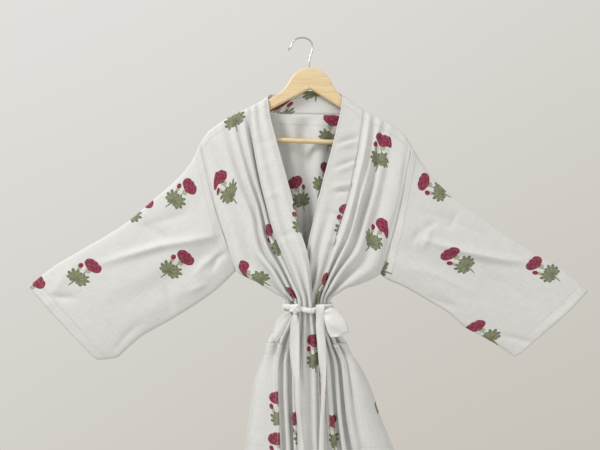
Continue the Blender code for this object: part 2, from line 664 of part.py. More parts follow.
def hook(finish):
    line = curve_through(HOOK, HOOK_STEPS)
    curve = bpy.data.curves.new("hanger_hook", "CURVE")
    curve.dimensions = "3D"
    curve.bevel_depth = WIRE_RADIUS * MM
    curve.bevel_resolution = 2
    curve.use_fill_caps = True
    spline = curve.splines.new("POLY")
    spline.points.add(len(line) - 1)
    for point, (x, z) in zip(spline.points, line):
        point.co = (x * MM, 0, z * MM, 1)
    return link("hanger_hook", curve, finish)


clear_scene()
robe = bpy.data.collections.new("kimono_robe_on_hanger")
cutters = bpy.data.collections.new("cutters")
bpy.context.scene.collection.children.link(robe)
bpy.context.scene.collection.children.link(cutters)

cotton = material("printed_cotton", (0.86, 0.86, 0.84), 0.85)
plain = material("belt_cotton", (0.88, 0.88, 0.86), 0.85)
wood = material("pale_wood", (0.78, 0.58, 0.36), 0.5)
steel = material("bright_wire", (0.7, 0.7, 0.7), 0.25, 1.0)

sheet_object("back_panel", back_rows(), CLOTH, cotton)
for side, is_left in (("left", True), ("right", False)):
    sheet_object("front_" + side, front_rows(is_left), CLOTH, cotton)
    sheet_object("sleeve_" + side, sleeve_rows(is_left), CLOTH, cotton, closed_columns=True)
    sheet_object("band_" + side, band_rows(is_left), BAND, cotton)
    sheet_object("pocket_" + side, pocket_rows(is_left), CLOTH, cotton)
sheet_object("band_neck", neck_rows(), BAND, cotton)

waist_turn(plain)
knot(plain)
sheet_object("belt_tail_left", ribbon_rows(TAIL_LEFT), BAND, plain)
sheet_object("belt_tail_right", ribbon_rows(TAIL_RIGHT), BAND, plain)
sheet_object("belt_loop_left", loop_rows(LOOP_LEFT), BAND, plain)
sheet_object("belt_loop_right", loop_rows(LOOP_RIGHT), BAND, plain)

yoke(wood)
bar_place = tilted(0, -BAR_DROP)
bar = cylinder("hanger_bar", BAR_RADIUS, 2 * BAR_HALF, (bar_place[0], 0, bar_place[1]),
               (0, math.pi / 2 + math.radians(TILT), 0), 20, robe)
bar.data.materials.append(wood)
hook(steel)
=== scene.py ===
import math

import bmesh
import bpy
import numpy as np
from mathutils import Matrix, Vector


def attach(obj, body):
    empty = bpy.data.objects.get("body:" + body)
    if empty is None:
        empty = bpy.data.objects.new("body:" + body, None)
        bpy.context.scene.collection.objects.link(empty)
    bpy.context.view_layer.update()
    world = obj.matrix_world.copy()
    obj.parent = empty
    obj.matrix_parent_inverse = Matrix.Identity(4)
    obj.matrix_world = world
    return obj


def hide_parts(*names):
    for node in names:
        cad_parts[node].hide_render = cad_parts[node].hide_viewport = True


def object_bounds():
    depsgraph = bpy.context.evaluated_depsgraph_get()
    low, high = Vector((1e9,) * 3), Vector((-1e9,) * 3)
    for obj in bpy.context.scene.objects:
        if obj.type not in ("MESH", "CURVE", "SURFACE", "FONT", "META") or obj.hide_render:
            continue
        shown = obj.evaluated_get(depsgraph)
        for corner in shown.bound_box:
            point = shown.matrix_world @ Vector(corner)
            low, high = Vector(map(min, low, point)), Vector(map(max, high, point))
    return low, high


# A thin cotton kimono robe, tied at the waist, on a wooden hanger.
# Sizes are in millimetres and turned to metres by mm. Left and right are the viewer's.
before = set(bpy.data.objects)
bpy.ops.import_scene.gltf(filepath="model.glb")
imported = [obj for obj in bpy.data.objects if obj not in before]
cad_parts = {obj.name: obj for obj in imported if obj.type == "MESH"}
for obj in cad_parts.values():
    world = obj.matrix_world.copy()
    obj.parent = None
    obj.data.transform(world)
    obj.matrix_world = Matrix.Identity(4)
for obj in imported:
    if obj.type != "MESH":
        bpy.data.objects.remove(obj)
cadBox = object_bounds()
mm = 0.001


def metres(place):
    return [v * mm for v in place]


def addObject(name, data):
    obj = bpy.data.objects.new(name, data)
    bpy.context.scene.collection.objects.link(obj)
    return obj


def meshFrom(name, bm, paint):
    mesh = bpy.data.meshes.new(name)
    bm.to_mesh(mesh)
    bm.free()
    mesh.materials.append(paint)
    return mesh


# Shader helpers. A value is a number, a tuple or another node's socket: give() sets it or links it.
def give(tree, socket, value):
    if isinstance(value, bpy.types.NodeSocket):
        tree.links.new(value, socket)
    elif value is not None:
        socket.default_value = value


def feed(tree, node, values):
    for socket, value in zip(node.inputs, values):
        give(tree, socket, value)
    return node


def calc(tree, operation, *values):
    node = tree.nodes.new("ShaderNodeMath")
    node.operation = operation
    return feed(tree, node, values).outputs[0]


def vectorCalc(tree, operation, *values):
    node = tree.nodes.new("ShaderNodeVectorMath")
    node.operation = operation
    feed(tree, node, values)
    return node.outputs["Value" if operation in ("LENGTH", "DOT_PRODUCT") else "Vector"]


def remap(tree, value, fromLow, fromHigh, toLow=0.0, toHigh=1.0, smooth=True):
    node = tree.nodes.new("ShaderNodeMapRange")
    node.interpolation_type = "SMOOTHSTEP" if smooth else "LINEAR"
    return feed(tree, node, (value, fromLow, fromHigh, toLow, toHigh)).outputs[0]


def noise(tree, vector, scale, detail, rough=0.5):
    node = tree.nodes.new("ShaderNodeTexNoise")
    settings = {"Vector": vector, "Scale": scale, "Detail": detail, "Roughness": rough}
    for label, value in settings.items():
        give(tree, node.inputs[label], value)
    return node.outputs


def mixColour(tree, share, first, second):
    node = tree.nodes.new("ShaderNodeMix")
    node.data_type = "RGBA"
    values = {"Factor_Float": share, "A_Color": first, "B_Color": second}
    for socket in node.inputs:
        if socket.identifier in values:
            give(tree, socket, values[socket.identifier])
    return next(s for s in node.outputs if s.identifier == "Result_Color")


# A node group: an input with no value is a vector, and everything else is a number.
def newGroup(name, inputs, outputs):
    tree = bpy.data.node_groups.new(name, "ShaderNodeTree")
    for label, value in inputs.items():
        kind = "NodeSocketVector" if value is None else "NodeSocketFloat"
        socket = tree.interface.new_socket(label, in_out="INPUT", socket_type=kind)
        if value is not None:
            socket.default_value = value
    for label in outputs:
        tree.interface.new_socket(label, in_out="OUTPUT", socket_type="NodeSocketFloat")
    return tree, tree.nodes.new("NodeGroupInput").outputs


def endGroup(tree, results):
    end = tree.nodes.new("NodeGroupOutput")
    for label, value in results.items():
        tree.links.new(value, end.inputs[label])
    return tree


def useGroup(tree, group, **values):
    node = tree.nodes.new("ShaderNodeGroup")
    node.node_tree = group
    for label, value in values.items():
        give(tree, node.inputs[label], value)
    return node.outputs


def uvPlace(tree, name):
    node = tree.nodes.new("ShaderNodeUVMap")
    node.uv_map = name
    return node.outputs[0]


def inMm(tree, place):
    return vectorCalc(tree, "MULTIPLY", place, (1000, 1000, 0))


def newPaint(name):
    paint = bpy.data.materials.new(name)
    paint.use_nodes = True
    return paint, paint.node_tree


def finishPaint(tree, looks):
    for label, value in looks.items():
        give(tree, tree.nodes["Principled BSDF"].inputs[label], value)


# Camera and light
photoView = {"place": (-2.2, -1100, -410.3), "lens": 30, "sensorWidth": 36}
studio = {
    "floorRadius": 1080, "floorDrop": 24, "floorTone": (0.74, 0.73, 0.70, 1), "floorRough": 0.9,
    # The wall's two tones: lit at the upper left, and painted shade at the lower right.
    "wallLitTone": (0.77, 0.755, 0.73, 1), "wallShadedTone": (0.57, 0.54, 0.485, 1),
    "wallSlope": (0.40, 0, -0.75), "wallReach": 0.5, "lampAim": (0, 0, -550),
    "keyLamp": {"place": (-1500, -1150, 1150), "size": 800, "power": 37},
    "fillLamp": {"place": (1300, -1300, -300), "size": 1400, "power": 5},
}


def makeCamera():
    data = bpy.data.cameras.new("photoCamera")
    data.lens = photoView["lens"]
    data.sensor_width = photoView["sensorWidth"]
    camera = addObject("photoCamera", data)
    camera.location = metres(photoView["place"])
    camera.rotation_euler = (math.pi / 2, 0, 0)
    bpy.context.scene.camera = camera


def makeLamp(name):
    lamp = studio[name]
    data = bpy.data.lights.new(name, "AREA")
    data.shape = "DISK"
    data.size = lamp["size"] * mm
    data.energy = lamp["power"]
    obj = addObject(name, data)
    obj.location = metres(lamp["place"])
    aim = Vector(metres(studio["lampAim"])) - obj.location
    obj.rotation_euler = aim.to_track_quat("-Z", "Y").to_euler()


# Painted shade: the wall's colour darkens down and to the right, where less light reaches it.
def makeWall():
    world = bpy.data.worlds.new("paleRoom")
    bpy.context.scene.world = world
    world.use_nodes = True
    tree = world.node_tree
    toward = tree.nodes.new("ShaderNodeTexCoord").outputs["Generated"]
    slope = vectorCalc(tree, "DOT_PRODUCT", toward, studio["wallSlope"])
    share = remap(tree, slope, -studio["wallReach"], studio["wallReach"], smooth=False)
    tone = mixColour(tree, share, studio["wallLitTone"], studio["wallShadedTone"])
    tree.links.new(tone, tree.nodes["Background"].inputs["Color"])
    bpy.context.scene.view_settings.view_transform = "Standard"


def makeFloor():
    paint, tree = newPaint("floorPaint")
    finishPaint(tree, {"Base Color": studio["floorTone"], "Roughness": studio["floorRough"]})
    bm = bmesh.new()
    bmesh.ops.create_circle(bm, cap_ends=True, segments=96, radius=studio["floorRadius"] * mm)
    floor = addObject("floor", meshFrom("floor", bm, paint))
    floor.location.z = cadBox[0].z - studio["floorDrop"] * mm


makeCamera()
makeWall()
makeLamp("keyLamp")
makeLamp("fillLamp")
makeFloor()
print("camera, lamps and floor ready")

# The block-printed flower, around the middle of its blossom, with its head up. Ellipses: x, y, half
# width, half height, turn. Leaf fans: x and y of the root, side, size; a lobe: its lean and length.
flower = {
    "petals": ((0, 0, 21, 12, 0), (-9, 1, 12.5, 11.5, 10), (9, 1.5, 12.5, 11, -10),
               (0, 0, 16, 13.5, 0), (0, -3, 17, 10, 0)),
    "streaks": ((-12, 0, 0.7, 8, 42), (-5, 3, 0.7, 9, 14), (3, 3, 0.7, 9.5, -6),
                (11, 2, 0.7, 8.5, -32)),
    "bud": ((-18.5, -17, 5.6, 6.2, 20),),
    "cups": ((2, -16, 6.5, 5.5, 0), (-15, -24.5, 4.4, 4.0, 30)),
    "greens": ((-9, -31, 8, 1.4, -42), (0.8, -33, 1.5, 14, 3), (-0.6, -60, 1.7, 9.5, -4)),
    "fans": ((-1, -49, -1, 1.0), (1, -46, 1, 0.96)),
    "lobes": ((8, 21), (32, 27), (57, 28.5), (82, 25), (108, 20), (134, 12)),
    "lobeHalf": 4.3, "veinHalf": 0.55, "veinLength": 0.75, "middle": 28,
    "wander": (0.3, 3.0, 0.65), "wanderReach": 3.4, "patches": (0.16, 3.0, 0.6),
}
# Where a shape's ink starts and where it is full, with its edge at 1, then its least and most.
inks = {
    "petal": (1.05, 0.95), "rim": (0.88, 1.0, 0.0, 0.45), "streak": (1.6, 0.6, 0.0, 0.3),
    "leaf": (1.1, 0.94), "leafRim": (0.62, 0.95), "vein": (1.8, 0.8, 0.0, 0.85),
    "cup": (1.08, 0.95), "patchy": (0.25, 0.55, 0.8, 0.98),
}


# One ellipse of the print: 1 on its edge, less inside it.
def blob(tree, vector, x, y, wide, high, turn):
    node = tree.nodes.new("ShaderNodeMapping")
    node.vector_type = "TEXTURE"
    feed(tree, node, (vector, (x, y, 0), (0, 0, math.radians(turn)), (wide, high, 1)))
    return vectorCalc(tree, "LENGTH", node.outputs[0])


def leafFans():
    lobes, veins = [], []
    for x, y, side, size in flower["fans"]:
        for lean, length in flower["lobes"]:
            angle, half = math.radians(lean), length * size / 2
            middle = (x + side * math.sin(angle) * half, y + math.cos(angle) * half)
            lobes.append((*middle, flower["lobeHalf"], half, -side * lean))
            veins.append((*middle, flower["veinHalf"], half * flower["veinLength"], -side * lean))
    return lobes, veins


def makeFlowerGroup():
    outputs = ("Blossom", "Blossom Shade", "Leaf", "Leaf Shade", "Cup", "Ink")
    tree, given = newGroup("blockPrintFlower", {"Place": None, "Rough Edge": 1.0}, outputs)
    place = inMm(tree, given["Place"])
    uneven = noise(tree, place, *flower["wander"])["Color"]
    wander = vectorCalc(tree, "SUBTRACT", uneven, (0.5, 0.5, 0.5))
    push = calc(tree, "MULTIPLY", given["Rough Edge"], flower["wanderReach"])
    strayed = vectorCalc(tree, "ADD", place, vectorCalc(tree, "SCALE", wander, None, None, push))
    bent = vectorCalc(tree, "MULTIPLY", strayed, (1, 1, 0))

    def shapes(table):
        union, *others = [blob(tree, bent, *ellipse) for ellipse in table]
        for other in others:
            union = calc(tree, "MINIMUM", union, other)
        return union

    def inked(shape, look):
        return remap(tree, shape, *inks[look])

    lobes, veins = leafFans()
    leaf = calc(tree, "MINIMUM", shapes(lobes), shapes(flower["greens"]))
    petals = calc(tree, "MINIMUM", shapes(flower["petals"]), shapes(flower["bud"]))
    streaks = inked(shapes(flower["streaks"]), "streak")
    return endGroup(tree, {
        "Blossom": inked(petals, "petal"),
        "Blossom Shade": calc(tree, "MAXIMUM", inked(petals, "rim"), streaks),
        "Leaf": inked(leaf, "leaf"),
        "Leaf Shade": calc(tree, "MAXIMUM", inked(leaf, "leafRim"), inked(shapes(veins), "vein")),
        "Cup": inked(shapes(flower["cups"]), "cup"),
        "Ink": inked(noise(tree, place, *flower["patches"])["Fac"], "patchy"),
    })


weaveLook = {"thin": 0.08, "depth": 0.06, "soft": (3.0, 0.55), "tone": (0.6, 1.4)}


# Plain weave: slubs that run with the threads both ways, and soft crumple over a hand's width.
def makeWeaveGroup():
    sizes = {"Cut": None, "Slub": 2.5, "Crumple": 60.0}
    tree, given = newGroup("plainWeave", sizes, ("Height", "Tone"))
    slubs, crumples = (calc(tree, "DIVIDE", 1000, given[k]) for k in ("Slub", "Crumple"))
    threads = []
    for squeeze in ((1, weaveLook["thin"], 0), (weaveLook["thin"], 1, 0)):
        run = vectorCalc(tree, "MULTIPLY", given["Cut"], squeeze)
        threads.append(noise(tree, run, slubs, 1.0)["Fac"])
    weave = calc(tree, "ADD", *threads)
    soft = noise(tree, given["Cut"], crumples, *weaveLook["soft"])["Fac"]
    return endGroup(tree, {
        "Height": calc(tree, "ADD", calc(tree, "MULTIPLY", weave, weaveLook["depth"]), soft),
        "Tone": remap(tree, weave, *weaveLook["tone"]),
    })


stitchLook = {"dash": (-0.6, 0.1), "thread": (0.65, 0.2), "fold": (1.4, -0.2)}


# Rows of stitches along the edges. Edge holds how far a place is from its sides and ends.
def makeStitchGroup():
    sizes = {"Edge": None, "Cut": None, "Side": 3.0, "End": 24.0, "Stitch": 2.6}
    tree, given = newGroup("edgeStitches", sizes, ("Mask", "Fold"))
    edge, place = (tree.nodes.new("ShaderNodeSeparateXYZ") for _ in range(2))
    tree.links.new(inMm(tree, given["Edge"]), edge.inputs[0])
    tree.links.new(inMm(tree, given["Cut"]), place.inputs[0])
    masks, folds = [], []
    for near, inset, along in ((edge.outputs[0], given["Side"], place.outputs[1]),
                               (edge.outputs[1], given["End"], place.outputs[0])):
        turn = calc(tree, "DIVIDE", calc(tree, "MULTIPLY", along, 2 * math.pi), given["Stitch"])
        dash = remap(tree, calc(tree, "SINE", turn), *stitchLook["dash"])
        away = calc(tree, "SUBTRACT", near, inset)
        thread = remap(tree, calc(tree, "ABSOLUTE", away), *stitchLook["thread"])
        masks.append(calc(tree, "MULTIPLY", thread, dash))
        folds.append(remap(tree, away, *stitchLook["fold"]))
    mask, fold = (calc(tree, "MAXIMUM", *both) for both in (masks, folds))
    return endGroup(tree, {"Mask": mask, "Fold": fold})


flowerGroup = makeFlowerGroup()
stitchGroup = makeStitchGroup()
weaveGroup = makeWeaveGroup()

# Side and end say how far a row of stitches is from the edges.
cottonLook = {
    "cloth": (0.66, 0.665, 0.655, 1), "thread": (0.60, 0.605, 0.595, 1),
    "Blossom": (0.215, 0.012, 0.045, 1), "Blossom Shade": (0.10, 0.007, 0.023, 1),
    "Leaf": (0.215, 0.235, 0.125, 1), "Leaf Shade": (0.065, 0.075, 0.040, 1),
    "Cup": (0.34, 0.37, 0.24, 1), "sewing": (0.60, 0.60, 0.585, 1), "side": 3.5, "end": 24.0,
    "roughness": 0.92, "bump": 1.8,
}
beltLook = {
    "cloth": (0.76, 0.76, 0.755, 1), "thread": (0.70, 0.70, 0.69, 1),
    "sewing": (0.64, 0.64, 0.625, 1), "side": 1.8, "end": 2.5, "roughness": 0.9, "bump": 1.2,
}
bothLooks = {"sheen": 0.12, "specular": 0.2, "sewn": 0.5, "sewnHeight": 0.3, "foldHeight": 0.35}


def printedColour(tree, look, colour):
    marks = useGroup(tree, flowerGroup, Place=uvPlace(tree, "flower"))
    for part in ("Leaf", "Cup", "Blossom"):
        ink = look[part]
        if part + " Shade" in look:
            ink = mixColour(tree, marks[part + " Shade"], ink, look[part + " Shade"])
        colour = mixColour(tree, calc(tree, "MULTIPLY", marks[part], marks["Ink"]), colour, ink)
    return colour


def clothMaterial(name, look, printed):
    paint, tree = newPaint(name)
    weave = useGroup(tree, weaveGroup, Cut=uvPlace(tree, "cut"))
    colour = mixColour(tree, weave["Tone"], look["thread"], look["cloth"])
    if printed:
        colour = printedColour(tree, look, colour)
    sewing = useGroup(tree, stitchGroup, Edge=uvPlace(tree, "edge"), Cut=uvPlace(tree, "cut"),
                      Side=look["side"], End=look["end"])
    sewn = calc(tree, "MULTIPLY", sewing["Mask"], bothLooks["sewn"])
    fold = calc(tree, "MULTIPLY", sewing["Fold"], bothLooks["foldHeight"])
    height = calc(tree, "SUBTRACT", fold, sewing["Mask"])
    height = calc(tree, "MULTIPLY", height, bothLooks["sewnHeight"])
    bump = tree.nodes.new("ShaderNodeBump")
    bump.inputs["Distance"].default_value = look["bump"] * mm
    tree.links.new(calc(tree, "ADD", weave["Height"], height), bump.inputs["Height"])
    finishPaint(tree, {
        "Base Color": mixColour(tree, sewn, colour, look["sewing"]), "Roughness": look["roughness"],
        "Sheen Weight": bothLooks["sheen"], "Specular IOR Level": bothLooks["specular"],
        "Normal": bump.outputs[0],
    })
    return paint


printedCotton = clothMaterial("printedCotton", cottonLook, True)
plainCotton = clothMaterial("plainCotton", beltLook, False)
print("materials ready")

# The cut and hang of the cloth. The tables are those of the solids: the shells follow them.
seamGap = 0.25
pocketLift = 2.0       # from the front's own cloth to the pocket's
waistZ = -588.0
folds = {
    "back": (0.85, 0.95, 1.15, 0.95, 1.15, 0.9, 1.1, 0.9),
    "left": (1.4, 0.95, 0.8, 0.85),
    "right": (0.85, 0.8, 0.95, 1.4),
    "band": (1.0, 1.0),
}
shell = {"thick": 0.5, "columnsPerFold": 16, "bandColumnsPerFold": 10, "rowEvery": 4.5,
         "deeper": 1.3, "straight": 0.97, "noEdge": 500}    # a tube's sides are this far off

bodyColumns = ("name", "lx", "lz", "rx", "rz", "roof", "slope", "side", "edge", "back", "wb", "wf",
                "calm")
bodyTable = (
    ("ridge",      -222,  -231, 242,  -234, 80, 1.0,   0.0,  0.8, 10.8, 516, 133, 1.0),
    ("shoulder",   -221,  -237, 241,  -240, 80, 1.0,   0.0,  8.4, 10.8, 516, 134, 1.0),
    ("armhole_1",  -211,  -278, 233,  -282, 79, 0.7,   0.0, 10.5, 15.0, 514, 137, 1.0),
    ("armhole_2",  -200,  -325, 224,  -329, 80, 0.4,   0.0, 10.5, 18.0, 510, 142, 1.0),
    ("armhole_3",  -185,  -382, 213,  -384, 82, 0.1,   0.0, 10.0, 18.0, 508, 152, 1.0),
    ("armhole_4",  -165,  -443, 196,  -448, 82, 0.0,   0.0,  8.5, 19.0, 508, 167, 0.95),
    ("underarm",   -143,  -509, 174,  -516, 80, 0.0,   0.0,  0.8, 19.0, 500, 180, 0.75),
    ("side_1",      -88,  -540, 120,  -543, 50, 0.0,  -2.0,  0.8, 17.0, 445, 178, 0.4),
    ("side_2",      -46,  -558,  74,  -556, 14, 0.0,  -5.0,  0.8, 14.0, 400, 172, 0.1),
    ("waist",       -19,  -576,  50,  -576,  0, 0.0,  -7.0,  0.8, 11.0, 365, 160, 0.0),
    ("below_belt",  -20,  -601,  50,  -601,  0, 0.0,  -7.0,  0.8, 10.0, 368, 158, 0.0),
    ("pocket_top",  -64,  -662,  85,  -662,  0, 0.0,  -8.0,  0.8, 11.0, 440, 180, 0.05),
    ("pocket_mid",  -86,  -708, 122,  -708,  0, 0.0,  -9.0,  0.8, 12.0, 462, 182, 0.1),
    ("pocket_low", -104,  -758, 149,  -758,  0, 0.0, -10.0,  0.8, 12.0, 485, 208, 0.35),
    ("pocket_end", -113,  -822, 171,  -822,  0, 0.0, -10.0,  0.8, 12.0, 510, 220, 0.5),
    ("skirt_1",    -122,  -905, 204,  -905,  0, 0.0, -10.0,  0.8, 12.0, 532, 238, 0.6),
    ("skirt_2",    -138, -1030, 240, -1030,  0, 0.0, -10.0,  0.8, 12.0, 552, 260, 0.65),
    ("skirt_3",    -160, -1200, 268, -1200,  0, 0.0, -10.0,  0.8, 12.0, 568, 278, 0.6),
    ("hem",        -187, -1392, 292, -1392,  0, 0.0, -10.0,  0.8, 12.0, 582, 290, 0.55),
)
shoulderRise = ((0, 0), (0.17, 0.34), (0.5, 0.66), (1, 1))
neckSeam = (
    (-114, 0.8, -151), (-112, 8.0, -154), (-98, 10.8, -161), (-50, 11.4, -164), (10, 11.8, -165),
    (72, 11.4, -166), (120, 10.8, -166), (132, 9.0, -163), (136, 0.8, -158),
)
bandColumns = ("sx", "sz", "sy", "ex", "ez", "ey", "width")
leftBandTable = (
    (-114,  -151,  -1.4,  -73,  -130,  -1.4, 48),
    (-113,  -157,  -9.2,  -72,  -136,  -9.4, 50),
    (-110,  -199, -13.0,  -67,  -172, -14.0, 54),
    (-102,  -247, -16.0,  -56,  -216, -17.5, 58),
    ( -92,  -300, -19.0,  -41,  -271, -21.0, 61),
    ( -77,  -361, -22.0,  -21,  -344, -26.0, 62),
    ( -58,  -430, -27.0,   -1,  -423, -33.0, 62),
    ( -32,  -490, -33.0,   14,  -472, -41.0, 62),
    ( -11,  -537, -38.0,   21,  -522, -45.0, 62),
    (   2,  -574, -41.0,   25,  -572, -46.0, 60),
)
rightBandTable = (
    (136,  -158,  -1.4,   90,  -124,  -1.4, 52),
    (136,  -164,  -9.2,   90,  -130,  -9.4, 54),
    (131,  -203, -13.0,   85,  -166, -14.0, 57),
    (125,  -243, -16.0,   77,  -201, -17.0, 60),
    (115,  -289, -19.0,   65,  -249, -19.5, 62),
    (103,  -348, -21.0,   50,  -303, -21.5, 62),
    ( 83,  -413, -24.0,   31,  -381, -23.5, 62),
    ( 62,  -473, -28.0,   13,  -462, -25.0, 62),
    ( 45,  -525, -31.0,    6,  -520, -24.0, 62),
    ( 31,  -574, -34.0,    0,  -572, -22.0, 60),
    ( 32,  -601, -34.5,    1,  -601, -23.0, 62),
    ( 44,  -662, -35.0,    6,  -662, -25.0, 62),
    ( 49,  -708, -35.0,    9,  -708, -26.0, 62),
)
neckEdge = (
    (-73, 1.8, -130), (-71.5, 5.5, -123.5), (-62, 9.8, -119.5), (-34, 10.8, -115), (9, 11.2, -112),
    (54, 10.8, -114), (79, 10.2, -117), (88, 7.0, -119), (90, 1.8, -124),
)
# Further down a band hangs straight: y of its seam and of its edge, then x of both, row by row.
bandWidth = 62
leftBandBelow = (-42.0, -47.0, (2, 28), (-3, 37), (-4, 38), (-4, 39), (-3, 41), (-1, 45), (2, 51),
                 (4, 57), (6, 63))
rightBandBelow = (-35.0, -27.0, (52, 11), (56, 14), (62, 18), (70, 23), (78, 28), (84, 34))


def row(columns, values):
    return dict(zip(columns, values))


bodyRows = [row(bodyColumns, r) for r in bodyTable]
rowOf = {r["name"]: i for i, r in enumerate(bodyRows)}


def bandTable(upper, seamY, edgeY, *below):
    lower = [(seamX, r["lz"], seamY, edgeX, r["lz"], edgeY, bandWidth)
             for (seamX, edgeX), r in zip(below, bodyRows[len(upper):])]
    return [row(bandColumns, r) for r in (*upper, *lower)]


leftBandRows = bandTable(leftBandTable, *leftBandBelow)
rightBandRows = bandTable(rightBandTable, *rightBandBelow)


def curveThrough(points, steps):
    p = np.array(points, float)
    ends = np.vstack([2 * p[0] - p[1], p, 2 * p[-1] - p[-2]])
    line = []
    for a, b, c, d in zip(ends, ends[1:], ends[2:], ends[3:]):
        for k in range(steps):
            t = k / steps
            line.append(0.5 * (2 * b + (c - a) * t + (2 * a - 5 * b + 4 * c - d) * t * t
                               + (3 * b - a - 3 * c + d) * t ** 3))
    line.append(p[-1])
    return np.array(line)


# A running sum that starts at 0, and how far along a line each of its points is.
def running(steps):
    return np.concatenate([[0], np.cumsum(steps)])


def alongLine(line):
    return running(np.linalg.norm(np.diff(line, axis=0), axis=1))


def pointsAt(where, at, line):
    return np.stack([np.interp(where, at, line[:, k]) for k in range(3)], axis=1)


def smooth(t):
    return t * t * (3 - 2 * t)


def phaseOf(widths, count):
    ends = running(widths) / sum(widths)
    return np.interp(np.linspace(0, 1, count), ends, np.arange(len(widths) + 1))


gathering = {"fine": 24, "mostSwing": 2.25, "tries": 40, "edge": 0.06}


# Cloth of flatWidth gathered along a line: its direction swings as a sine of the distance along it,
# which keeps the flat width and rounds each fold. Gives each column's place along and off the line.
def gather(flatWidth, length, widths, columns, weight):
    every = gathering["fine"]
    fine = every * columns
    share = np.linspace(0, 1, fine + 1)
    swing = np.sin(2 * math.pi * phaseOf(widths, fine + 1)) * weight(share)
    swing = (swing[1:] + swing[:-1]) / 2
    step = flatWidth / fine
    low, high = 0.0, gathering["mostSwing"]
    for _ in range(gathering["tries"]):
        middle = (low + high) / 2
        tooLong = np.cos(middle * swing).sum() * step > length
        low, high = (middle, high) if tooLong else (low, middle)
    along, off = running(np.cos(low * swing)) * step, running(np.sin(low * swing)) * step
    off -= share * off[-1]
    off -= off.mean() * np.clip(np.minimum(share, 1 - share) / gathering["edge"], 0, 1)
    return along[::every] / along[-1], off[::every]


calming = {"from": 0.1, "wider": 0.25, "over": 0.4, "most": 0.85}


# Pleats are flatter near the named sides, where the cloth is stretched by the seam.
def calmBy(calm, sides):
    def weight(share):
        fromSide = np.minimum(share if "left" in sides else 1, 1 - share if "right" in sides else 1)
        opened = (fromSide - calming["from"] - calming["wider"] * calm) / calming["over"]
        return 1 - calming["most"] * calm * (1 - smooth(np.clip(opened, 0, 1)))
    return weight


def hang(line, flatWidth, widths, columns, weight=np.ones_like):
    at = alongLine(line)
    share, off = gather(flatWidth, at[-1], widths, columns, weight)
    where = share * at[-1]
    points, ahead, behind = (pointsAt(where + d, at, line) for d in (0, 2, -2))
    tangent = ahead - behind
    tangent /= np.linalg.norm(tangent, axis=1)[:, None]
    out = np.cross([0, 0, -1], tangent)
    out /= np.linalg.norm(out, axis=1)[:, None]
    return points + out * off[:, None]


# The back's line has round corners, a roof of two shoulders, and the neck's own curve at the ridge.
bodyShape = {"corner": 0.9, "roof": 0.8, "armsLeft": 0.233, "armsRight": 0.228, "armsHighest": 0.88}
ridgeEnds = (((-204, 0.8, -204), (-168, 0.8, -177.5)), ((174, 0.8, -182), (226, 0.8, -213)))


def corner(t):
    angle = t * math.pi / 2
    return 1 - np.cos(angle) ** bodyShape["corner"], np.sin(angle) ** bodyShape["corner"]


def backLine(r, steps=40):
    over, deep = corner(np.linspace(0, 1, steps + 1))
    t = np.concatenate([over / 2, 1 - over[-2::-1] / 2])
    level = np.concatenate([deep, deep[-2::-1]])
    rise = np.array(shoulderRise)
    x = np.concatenate([rise[:, 0] * bodyShape["armsLeft"],
                        1 - rise[::-1, 0] * bodyShape["armsRight"]])
    arms = np.interp(t, x, np.concatenate([rise[:, 1], rise[::-1, 1]]))
    roof = arms * r["slope"] + (1 - r["slope"]) * np.sin(math.pi * t) ** bodyShape["roof"]
    edge = r["side"] + r["edge"]
    line = np.stack([
        r["lx"] + (r["rx"] - r["lx"]) * t,
        edge + (r["back"] - edge) * level,
        r["lz"] + (r["rz"] - r["lz"]) * t + r["roof"] * roof,
    ], axis=1)
    if r["name"] == "ridge":
        left, right = ridgeEnds
        line = np.array([(r["lx"], r["edge"], r["lz"]), *left, *neckSeam, *right,
                         (r["rx"], r["edge"], r["rz"])], float)
    if r["name"] == "shoulder":
        highest = np.minimum(arms, bodyShape["armsHighest"])
        line[:, 2] = r["lz"] + (r["rz"] - r["lz"]) * t + r["roof"] * highest
    return line


def frontLine(r, band, left, steps=30):
    over, deep = corner(np.linspace(0, 1, steps + 1))
    rise = np.array(shoulderRise)
    arms = np.interp(over, rise[:, 0], rise[:, 1]) * r["slope"] + over * (1 - r["slope"])
    x, z = ("lx", "lz") if left else ("rx", "rz")
    seamX = band["sx"] + (-seamGap if left else seamGap)
    edge = r["side"] - r["edge"]
    line = np.stack([
        r[x] + (seamX - r[x]) * over,
        edge + (band["sy"] - edge) * deep,
        r[z] + (band["sz"] - r[z]) * arms,
    ], axis=1)
    return line if left else line[::-1]


def backRows():
    columns = shell["columnsPerFold"] * len(folds["back"])
    both = ("left", "right")
    return np.array([hang(backLine(r), r["wb"], folds["back"], columns, calmBy(r["calm"], both))
                     for r in bodyRows])


# Below the belt the outer half of a front hangs nearly flat, with its pocket on it.
skirt = {"from": -640.0, "full": -730.0, "left": (0.6, 0.95), "right": (0.46, 0.85), "bow": 5.0,
         "round": 0.9, "fade": 0.35}


def eased(points, r, left):
    reach, most = skirt["left" if left else "right"]
    share = np.linspace(0, 1, len(points))
    share = share if left else 1 - share
    far = int(round(reach * (len(points) - 1)))
    inner = points[far if left else len(points) - 1 - far]
    outer = points[0 if left else -1]
    part = np.clip(share / reach, 0, 1)
    flat = outer + (inner - outer) * part[:, None]
    flat[:, 1] = outer[1] + (inner[1] - outer[1]) * np.sin(part * math.pi / 2) ** skirt["round"]
    flat[:, 1] -= skirt["bow"] * np.sin(math.pi * part)
    start = np.clip((skirt["from"] - r["rz"]) / (skirt["from"] - skirt["full"]), 0, 1)
    fade = np.clip((1 - part) / skirt["fade"], 0, 1)
    weight = most * smooth(start) * smooth(fade)
    return points + (flat - points) * weight[:, None]


